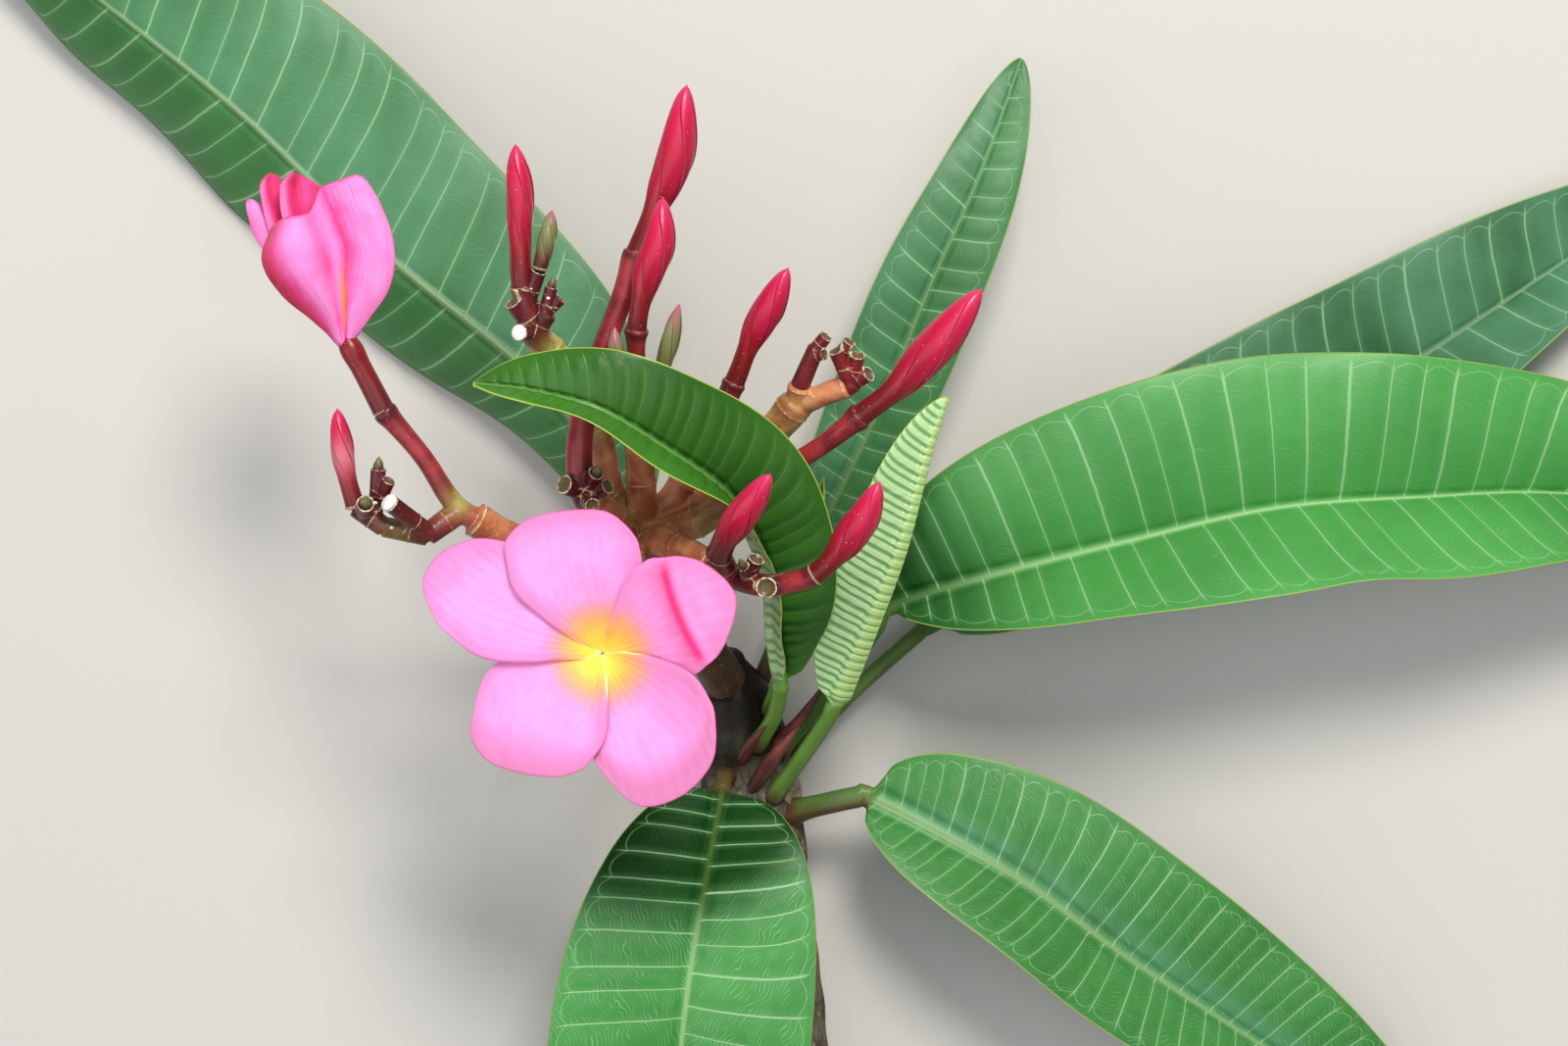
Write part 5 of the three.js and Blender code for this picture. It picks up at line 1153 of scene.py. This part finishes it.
# The open flower faces the camera. Its throat is a funnel tilted down to the left: height is read off
# the funnel's profile by distance from the throat, and rises with the tilt. A petal's left edge lies
# over the next petal and its right edge under the one before it. Petals: degrees round the throat of
# the left and of the right edge at each share of the way out, and how far out the petal ends on five
# lines from its left edge to its right one.
openFlower = {
    "foot": [-45.05, -24.25, 86.3], "throat": [-46.2, -33.2, 104], "axis": [-0.34, -0.14, 1],
    "throatRadius": 0.7, "tilt": [0.34, 0.14], "overlap": 1.3,
    "funnel": [[0, -4.2], [0.9, -3.5], [1.8, -2.2], [2.8, -0.8], [4.5, 1.2], [8.5, 4], [16, 7], [27, 9.4],
               [48, 11.5]],
    "shares": [0, 0.09, 0.21, 0.4, 0.7, 1], "tubeRadius": [[0, 2.9], [0.5, 2.5], [0.85, 3], [1, 1.9]],
    "petals": {
        "right": {
            "left": [104, 88, 80, 74.5, 71, 60], "right": [-34, -28, -24, -20, -16, -12],
            "ends": [30, 35, 37.4, 31.8, 26], "blush": [[0, 0.3], [0.3, 0.16], [0.6, 0.2], [1, 0.5]],
            "tip": 0.5, "creased": True,
        },
        "top": {
            "left": [172, 158, 152, 149.5, 143, 129], "right": [30, 44, 51, 57, 63, 74],
            "ends": [40, 38.6, 37.2, 36.2, 33.4], "blush": [[0, 0.16], [0.2, 0], [0.7, 0.02], [1, 0.35]],
            "tip": 0.3,
        },
        "left": {
            "left": [212, 196, 188, 187, 181, 167.5], "right": [84, 100, 108, 115, 122, 129],
            "ends": [45.7, 49.3, 48.4, 44, 38], "blush": [[0, 0.4], [0.2, 0.1], [0.6, 0.02], [1, 0.35]],
            "tip": 0.5,
        },
        "lowerLeft": {
            "left": [300, 286, 280, 277, 271, 259], "right": [142, 156, 165, 173, 190, 214],
            "ends": [31.6, 33.7, 36.6, 39.8, 42.6], "blush": [[0, 0.45], [0.2, 0.05], [0.7, 0], [1, 0.3]],
            "tip": 0.85,
        },
        "lowerRight": {
            "left": [26, 12, 3, -3, -12, -28], "right": [-150, -132, -119, -108, -99, -92],
            "ends": [34.4, 39, 40.8, 39.2, 30], "blush": [[0, 0.85], [0.3, 0.25], [0.6, 0], [1, 0.25]],
            "tip": 1.5,
        },
    },
}
# The opening flower is half unrolled: two petals have swung forward, three still stand behind them.
# Lines run from each petal's left edge to its right one. Blush, flame and crease are by share of the
# way from left to right. The blush is partly the petals' own colour and partly painted shade, deepest on
# the three back petals.
openingFlower = {
    "tube": [[-103.15, 29.3, 92.05], [-107.9, 38.6, 93], [-112.6, 47.6, 94.4]],
    "tubeRadius": [[0, 2.9], [0.6, 2.75], [0.9, 2.85], [1, 2.1]], "lowest": [-113.4, 44.8, 94],
    "linesFrom": [-110, 45, 95],
    "petals": {
        "frontRight": {
            "lines": [
                [[-2.4, 1, 0.6], [-2.6, 9, 2.9], [-2.8, 17, 4.4], [-3.2, 26.5, 5.4], [-9, 40.3, 6.2]],
                [[-1.5, 1.2, 0.6], [0, 9, 4.5], [3, 17, 7.5], [3.5, 27, 8.5], [-2.5, 42.5, 8]],
                [[-0.8, 1.6, 0], [2, 8.5, 4.5], [7, 16, 8.5], [7.5, 28, 10], [2, 43.5, 8]],
                [[-0.4, 1.8, -1], [4, 7, 3], [10, 16, 7], [10.5, 28, 8], [6, 39.5, 6.5]],
            ],
            "blush": [[0, 0.5], [0.1, 0.36], [0.26, 0.1], [0.8, 0.02], [0.93, 0.12], [1, 0.45]],
            "flame": (0.03, 0.0), "corners": (0.0, 0.12),
        },
        "frontLeft": {
            "lines": [
                [[-4, 0.2, -1], [-11.3, 6.8, 2.5], [-18.5, 13, 5.5], [-23.3, 22.5, 6.5], [-20, 32.5, 6.5]],
                [[-3.8, 0.2, 0], [-7, 9, 7], [-12, 16, 12], [-16.5, 24, 14], [-16, 32.5, 13]],
                [[-3.4, 0.4, 0.8], [-5, 9.5, 7], [-7.5, 16.5, 11.5], [-10, 24, 13.5], [-12.5, 33, 12.5]],
                [[-3, 0.6, 1], [-4, 9.5, 4.5], [-5, 17, 6.5], [-6.5, 25.5, 7.5], [-10.5, 34.5, 8.5]],
                [[-2.6, 0.8, 1], [-2.3, 9.5, 3.2], [-2.2, 17, 5], [-2.6, 27, 6.3], [-8, 40.3, 7]],
                [[-2.2, 1, 0.6], [-1.5, 10, 1], [-0.5, 17, 1.5], [-1, 27, 2.5], [-5.5, 41.5, 4]],
            ],
            "blush": [[0, 0.9], [0.08, 0.7], [0.17, 0.2], [0.4, 0.02], [0.52, 0.2], [0.6, 0.2], [0.7, 0.12],
                      [0.78, 0.4], [0.87, 0.5], [1, 0.6]],
            "flame": (0.8, 0.12), "corners": (0.08, 0.0),
        },
        "backRight": {
            "lines": [
                [[-3.2, 1, -2.4], [-11, 16, -1], [-17, 30, 3], [-18.5, 40.5, 6], [-16.5, 45, 5.5]],
                [[-2.2, 1.2, -2.8], [-6.5, 16.5, -3], [-11.5, 30, -2], [-14, 40.5, 0.5], [-13.5, 44, 1.5]],
                [[-1, 1.8, -2.2], [-0.5, 16, -1], [-1.5, 30, 0.5], [-4.5, 38.5, 2], [-8, 41, 2]],
            ],
            "blush": [[0, 0.0], [0.1, 0.05], [0.17, 0.4], [0.6, 0.42], [1, 0.6]],
        },
        "backLeft": {
            "lines": [
                [[-3.8, 0.6, -1.8], [-14.5, 16, -0.5], [-21.5, 30, 2.5], [-24, 40.5, 4.5], [-22.5, 44, 4]],
                [[-3.2, 0.8, -2.4], [-12.5, 16.5, -2.5], [-18.5, 30, -1], [-21.5, 41, 0.5], [-21, 44.5, 1]],
                [[-2.4, 1, -2.7], [-10, 16.5, -3.5], [-15.5, 30, -3], [-18.5, 40, -1.5], [-18.5, 43.5, -0.5]],
            ],
            "blush": [[0, 0.0], [0.15, 0.05], [0.25, 0.42], [0.6, 0.5], [1, 0.62]],
        },
        "farLeft": {
            "lines": [
                [[-4, 0.4, -1.2], [-16, 14, -2.5], [-25, 27, -1.5], [-27.5, 33.5, 0], [-28.5, 37, 0.5]],
                [[-3.8, 0.4, -1.4], [-13.5, 16, -0.5], [-21, 28.5, 0.5], [-24.5, 34, 2], [-26.5, 38, 1.5]],
                [[-3.4, 0.6, -2], [-11.5, 19, -2], [-18.5, 31, -1.5], [-21, 34.5, -0.5], [-24, 36, 0]],
            ],
            "blush": [[0, 0.3], [0.25, 0.0], [0.6, 0.05], [0.8, 0.5], [1, 0.75]],
        },
    },
}


# A petal's guide lines in the open flower, one a column: points at each share of the way out. The foot
# is narrowed towards its left edge, and the left edge is raised over the right by the overlap.
def openPetalLines(petal):
    k, share = np.arange(5), np.array(openFlower["shares"])[:, None]
    side = 1 - k / 2
    root = openFlower["throatRadius"]
    out = root + (np.array(petal["ends"]) - root) * share - 0.5 * side * (1 - smooth(share / 0.2))
    left, right = np.array(petal["left"], float)[:, None], np.array(petal["right"], float)[:, None]
    turn = np.radians(left + (right - left) * k / 4)
    x, y = out * np.cos(turn), out * np.sin(turn)
    height = np.interp(out, *np.array(openFlower["funnel"], float).T)
    tilt = openFlower["tilt"]
    height = height + tilt[0] * x + tilt[1] * y + openFlower["overlap"] * side * smooth(out / 8)
    return (np.stack([x, y, height], -1) + openFlower["throat"]).swapaxes(0, 1)


# A petal: a sheet over its guide lines, smoothed from line to line by the same cubics, with its corners
# drawn in, half its thickness put on either side along its normal, round edges, and lifts added to it.
def petalShell(lines, number, throat, blush, tip=0.0, corners=(0.1, 0.1), flame=None, creased=False):
    stations = 96
    s = (1 - (1 - np.linspace(0, 1, stations)) ** 1.25)[:, None]
    half = np.r_[np.linspace(0, 0.95, 34), 0.972, 0.988, 0.997, 1.0]
    upper = np.r_[half[::-1], -half[1:]]
    across = (1 - upper) / 2
    bend = np.clip((np.abs(upper) - 0.5) / 0.5, 0, 1)
    pull = 1 - np.where(upper > 0, *corners) * (1 - np.sqrt(1 - bend**2))
    place = across * (len(lines) - 1)
    weights = np.stack([along(list(enumerate(row)), place) for row in np.eye(len(lines))], 1)
    shares = s * pull
    curves = np.stack([pointsAt(routeOf(line), shares) for line in lines], 2)
    sheet = np.einsum("ck,sckx->scx", weights, curves)
    onward, over = np.gradient(sheet, axis=0), -np.gradient(sheet, axis=1)
    normal = unit(np.cross(over, onward))
    widths = np.linalg.norm(np.diff(sheet, axis=1), axis=2)
    fromLeft = np.c_[np.zeros(stations), np.cumsum(widths, 1)]
    width = fromLeft[:, -1:]
    lengths = np.linalg.norm(np.diff(sheet, axis=0), axis=2)
    fromFoot = np.vstack([np.zeros(len(upper)), np.cumsum(lengths, 0)])
    toEnd = fromFoot[-1] - fromFoot
    edge = np.minimum(np.minimum(fromLeft, width - fromLeft), toEnd)
    dx, dy, _ = np.moveaxis(sheet - throat, -1, 0)
    crease, dent, burnt = np.zeros((3, *edge.shape))
    if creased:  # a valley bowed towards the throat, from the top of the petal to its lower right
        # Painted shade along the valley, strongest just on its throat side, with a softer spread.
        down = (-0.377 * dx + 0.926 * dy - 2) / 14
        off = 0.926 * dx + 0.377 * dy - 24.1 + 1.5 * (1 - down**2)
        crease = (0.95 * bell(off, 1.2) + 0.5 * bell(off + 1.8, 3.6)) * smooth((1.15 - np.abs(down)) / 0.4)
        dent = -0.7 * bell(off, 1.8) + 0.5 * bell(off - 3, 2.4)
    ruffle = 0.35 * smooth((s - 0.35) / 0.4) * upper**4 * np.sin(s * 11 + number * 1.7 + 2 * upper)
    rolled = 0.5 * bell(fromLeft, 0.8) * smooth(toEnd / 6) * smooth(fromFoot / 6)
    fluting = 0.05 * np.sin(upper * 36 + number) * smooth(s / 0.2)
    sheet = sheet + normal * (dent + ruffle + rolled + fluting)[..., None]
    skin = 0.3 * np.sqrt(np.maximum(1 - np.abs(upper) ** 40, 0)) * np.sqrt(1 - 0.97 * s ** 60)
    faces = [sheet + normal * (way * skin)[..., None] for way in (1, -1)]
    ring = np.concatenate([faces[0], faces[1][:, -2:0:-1]], 1)
    mirror = lambda grid: np.concatenate([grid, grid[:, -2:0:-1]], 1)
    full = np.clip(np.maximum(along(blush, across), tip * smooth((15 - toEnd) / 15) ** 1.4), 0, 1)
    if flame:  # a streak from the foot, at a share of the way across that drifts on the way out
        burnt = bell(across - flame[0] + flame[1] * s, 0.05) * smooth((0.62 - s) / 0.35)
        burnt = burnt * smooth((s - 0.06) / 0.1)
    values = {
        "edgeMm": edge, "crease": crease, "blush": full, "orange": burnt,
        "fromThroat": np.linalg.norm(sheet[..., :2] - throat[:2], axis=-1),
    }
    values = {name: mirror(grid) for name, grid in values.items()}
    values["outer"] = np.broadcast_to(np.arange(ring.shape[1]) >= len(upper), ring.shape[:2]).astype(float)
    plan = mirror(np.stack([fromLeft - width / 2 + 60 * number, fromFoot], -1))
    return loft(ring, values, plan, strip=True)


# A flower: its petals, its tube, and the hollow at the bottom of its throat.
def flowerShells(petals, throat, tube, tubeRadius, hollow):
    shells = [petalShell(number=k, throat=np.array(throat), **petal) for k, petal in enumerate(petals)]
    marks = {"share": [[0, 0.0], [1, 0.3]], "joint": [[0, 1], [0.02, 0.4], [0.04, 0]]}
    stalk = tubeShell(tube, tubeRadius, sides=28, count=50, dome=(0.2, 0.05), values=marks)
    speck = tubeShell(*hollow, sides=16, count=6, dome=(0.2, 0.3))
    return shells + [{**stalk, "material": 1}, {**speck, "material": 2}]


# A node's piece, named after it, tied to the root and given its materials; the solid it replaces is hidden.
def makePiece(node, shells, materials):
    first, *rest = node.split("_")
    name = first + "".join(word.capitalize() for word in rest) + "Piece"
    piece = pieceFrom(name, shells, materials)
    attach(piece, "root")
    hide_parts(node)


makePiece("branch", [branchShell()] + [sheathShell(*sheath) for sheath in sheaths], [bark, redSheath])
print("branch made")
for name, own in leaves.items():
    leaf = {**usualLeaf, **own}
    blade, slot = (youngLeaf, "young_leaf") if leaf["young"] else (matureLeaf, "leaf")
    makePiece(name, [leafShell(leaf)], [blade])
print("leaves made")
makePiece("flower_stalk", [flowerStalkShell()], [rayStalk])
for name in rays:
    makePiece("red_stalk_" + name, redStalkShells(name), [redStalk, greenBud, driedLatex])
for name in forkStubs:
    makePiece(name, [forkStubShell(name)], [redStalk])
print("stalks made")
for name, ray in rays.items():
    if "bud" in ray:
        shell = budShell(ray["route"], ray["bud"], start=ray["budFrom"] - 0.3 / ray["route"]["length"])
        makePiece("bud_" + name, [shell], [crimsonBud])
for name, bud in sideBuds.items():
    route, pale = routeOf(bud["points"]), bud.get("pale", 0)
    shell = budShell(route, bud["radius"], tubeEnd=bud["tube"], stations=90, pale=pale)
    skin, slot = (greenBud, "green_bud") if bud.get("unripe") else (crimsonBud, "bud")
    makePiece(name, [shell], [skin])
print("buds made")
throat, away = np.array(openFlower["throat"]), unit(np.array(openFlower["axis"]))
petals = [
    {"lines": openPetalLines(petal), "blush": petal["blush"], "tip": petal["tip"],
     "creased": petal.get("creased", False)}
    for petal in openFlower["petals"].values()
]
# The tube leaves the stalk, turns to the flower's axis and ends below the throat, at the hollow.
foot, turn, top = np.array(openFlower["foot"]), throat - 13 * away, throat - 3.9 * away
tube = routeOf([foot - 0.5 * unit(turn - foot), turn, top])
hollow = (routeOf([throat - 4.8 * away, top]), [[0, 1.3], [1, 1.2]])
shells = flowerShells(petals, openFlower["throat"], tube, openFlower["tubeRadius"], hollow)
makePiece("open_flower", shells, [openPetal, crimsonBud, throatHollow])
foot, turn, top = np.array(openingFlower["tube"])
petals = [{**petal, "lines": np.array(petal["lines"]) + openingFlower["linesFrom"]}
          for petal in openingFlower["petals"].values()]
tube = routeOf([foot - 0.6 * unit(turn - foot), turn, top])
hollow = (routeOf([top - 0.2 * (top - turn), top]), [[0, 1.2], [1, 1]])
shells = flowerShells(petals, openingFlower["lowest"], tube, openingFlower["tubeRadius"], hollow)
makePiece("opening_flower", shells, [openingPetal, crimsonBud, throatHollow])
print("flowers made")


# Matt painted board: even and pale, with a faint unevenness so that it doesn't look like paper.
def floorNodes(add, look):
    cloud = add("TexNoise", add("TexCoord", out="Object"), None, 3.0, 3.0)
    return {"Base Color": add("MixRGB", cloud, look["low"], look["high"]), "Roughness": 0.75}


floorSize = 3.0  # metres each way from the middle
corners = floorSize * np.array([[-1, -1, 0], [1, -1, 0], [1, 1, 0], [-1, 1, 0]])
floorMesh = bpy.data.meshes.new("floor")
floorMesh.from_pydata(corners.tolist(), [], [[0, 1, 2, 3]])
floorMesh.materials.append(materialOf("mattBoard", floorNodes, {"low": "#b9b7b2", "high": "#c3c1bc"}))
floor = bpy.data.objects.new("floor", floorMesh)
bpy.context.scene.collection.objects.link(floor)

lamps = {  # place and aim in metres, size in metres, watts, colour
    "key": [(0.25, 0.85, 1.35), (0, 0, 0.03), 0.5, 26, "#fffaf2"],
    "overhead": [(-0.1, -0.1, 1.6), (0, 0, 0), 1.4, 9, "#f4f8ff"],
    "fill": [(-1.1, -0.5, 0.9), (0, 0, 0.03), 1.0, 6, "#ffffff"],
}
for name, (place, aim, size, watts, colour) in lamps.items():
    light = bpy.data.lights.new(name, "AREA")
    light.size, light.energy, light.color = size, watts, linear(colour)[:3]
    lamp = bpy.data.objects.new(name, light)
    lamp.location = place
    way = unit(np.array(aim) - place)
    lamp.rotation_euler = (np.arccos(-way[2]), 0, np.arctan2(way[1], way[0]) - np.pi / 2)
    bpy.context.scene.collection.objects.link(lamp)
world = bpy.data.worlds.new("studio")
world.use_nodes = True
world.node_tree.nodes["Background"].inputs["Color"].default_value = linear("#e9edf2")
world.node_tree.nodes["Background"].inputs["Strength"].default_value = 0.35
bpy.context.scene.world = world
bpy.context.scene.view_settings.view_transform = "Standard"

cameraHeight = 1100  # millimetres above the table, straight over the drafting centre
camera = bpy.data.objects.new("camera", bpy.data.cameras.new("camera"))
camera.data.lens, camera.data.sensor_width = 90, 36
camera.data.clip_end = 20
camera.location = toFrame([0, 0, cameraHeight])
bpy.context.scene.collection.objects.link(camera)
bpy.context.scene.camera = camera
print("stage made")
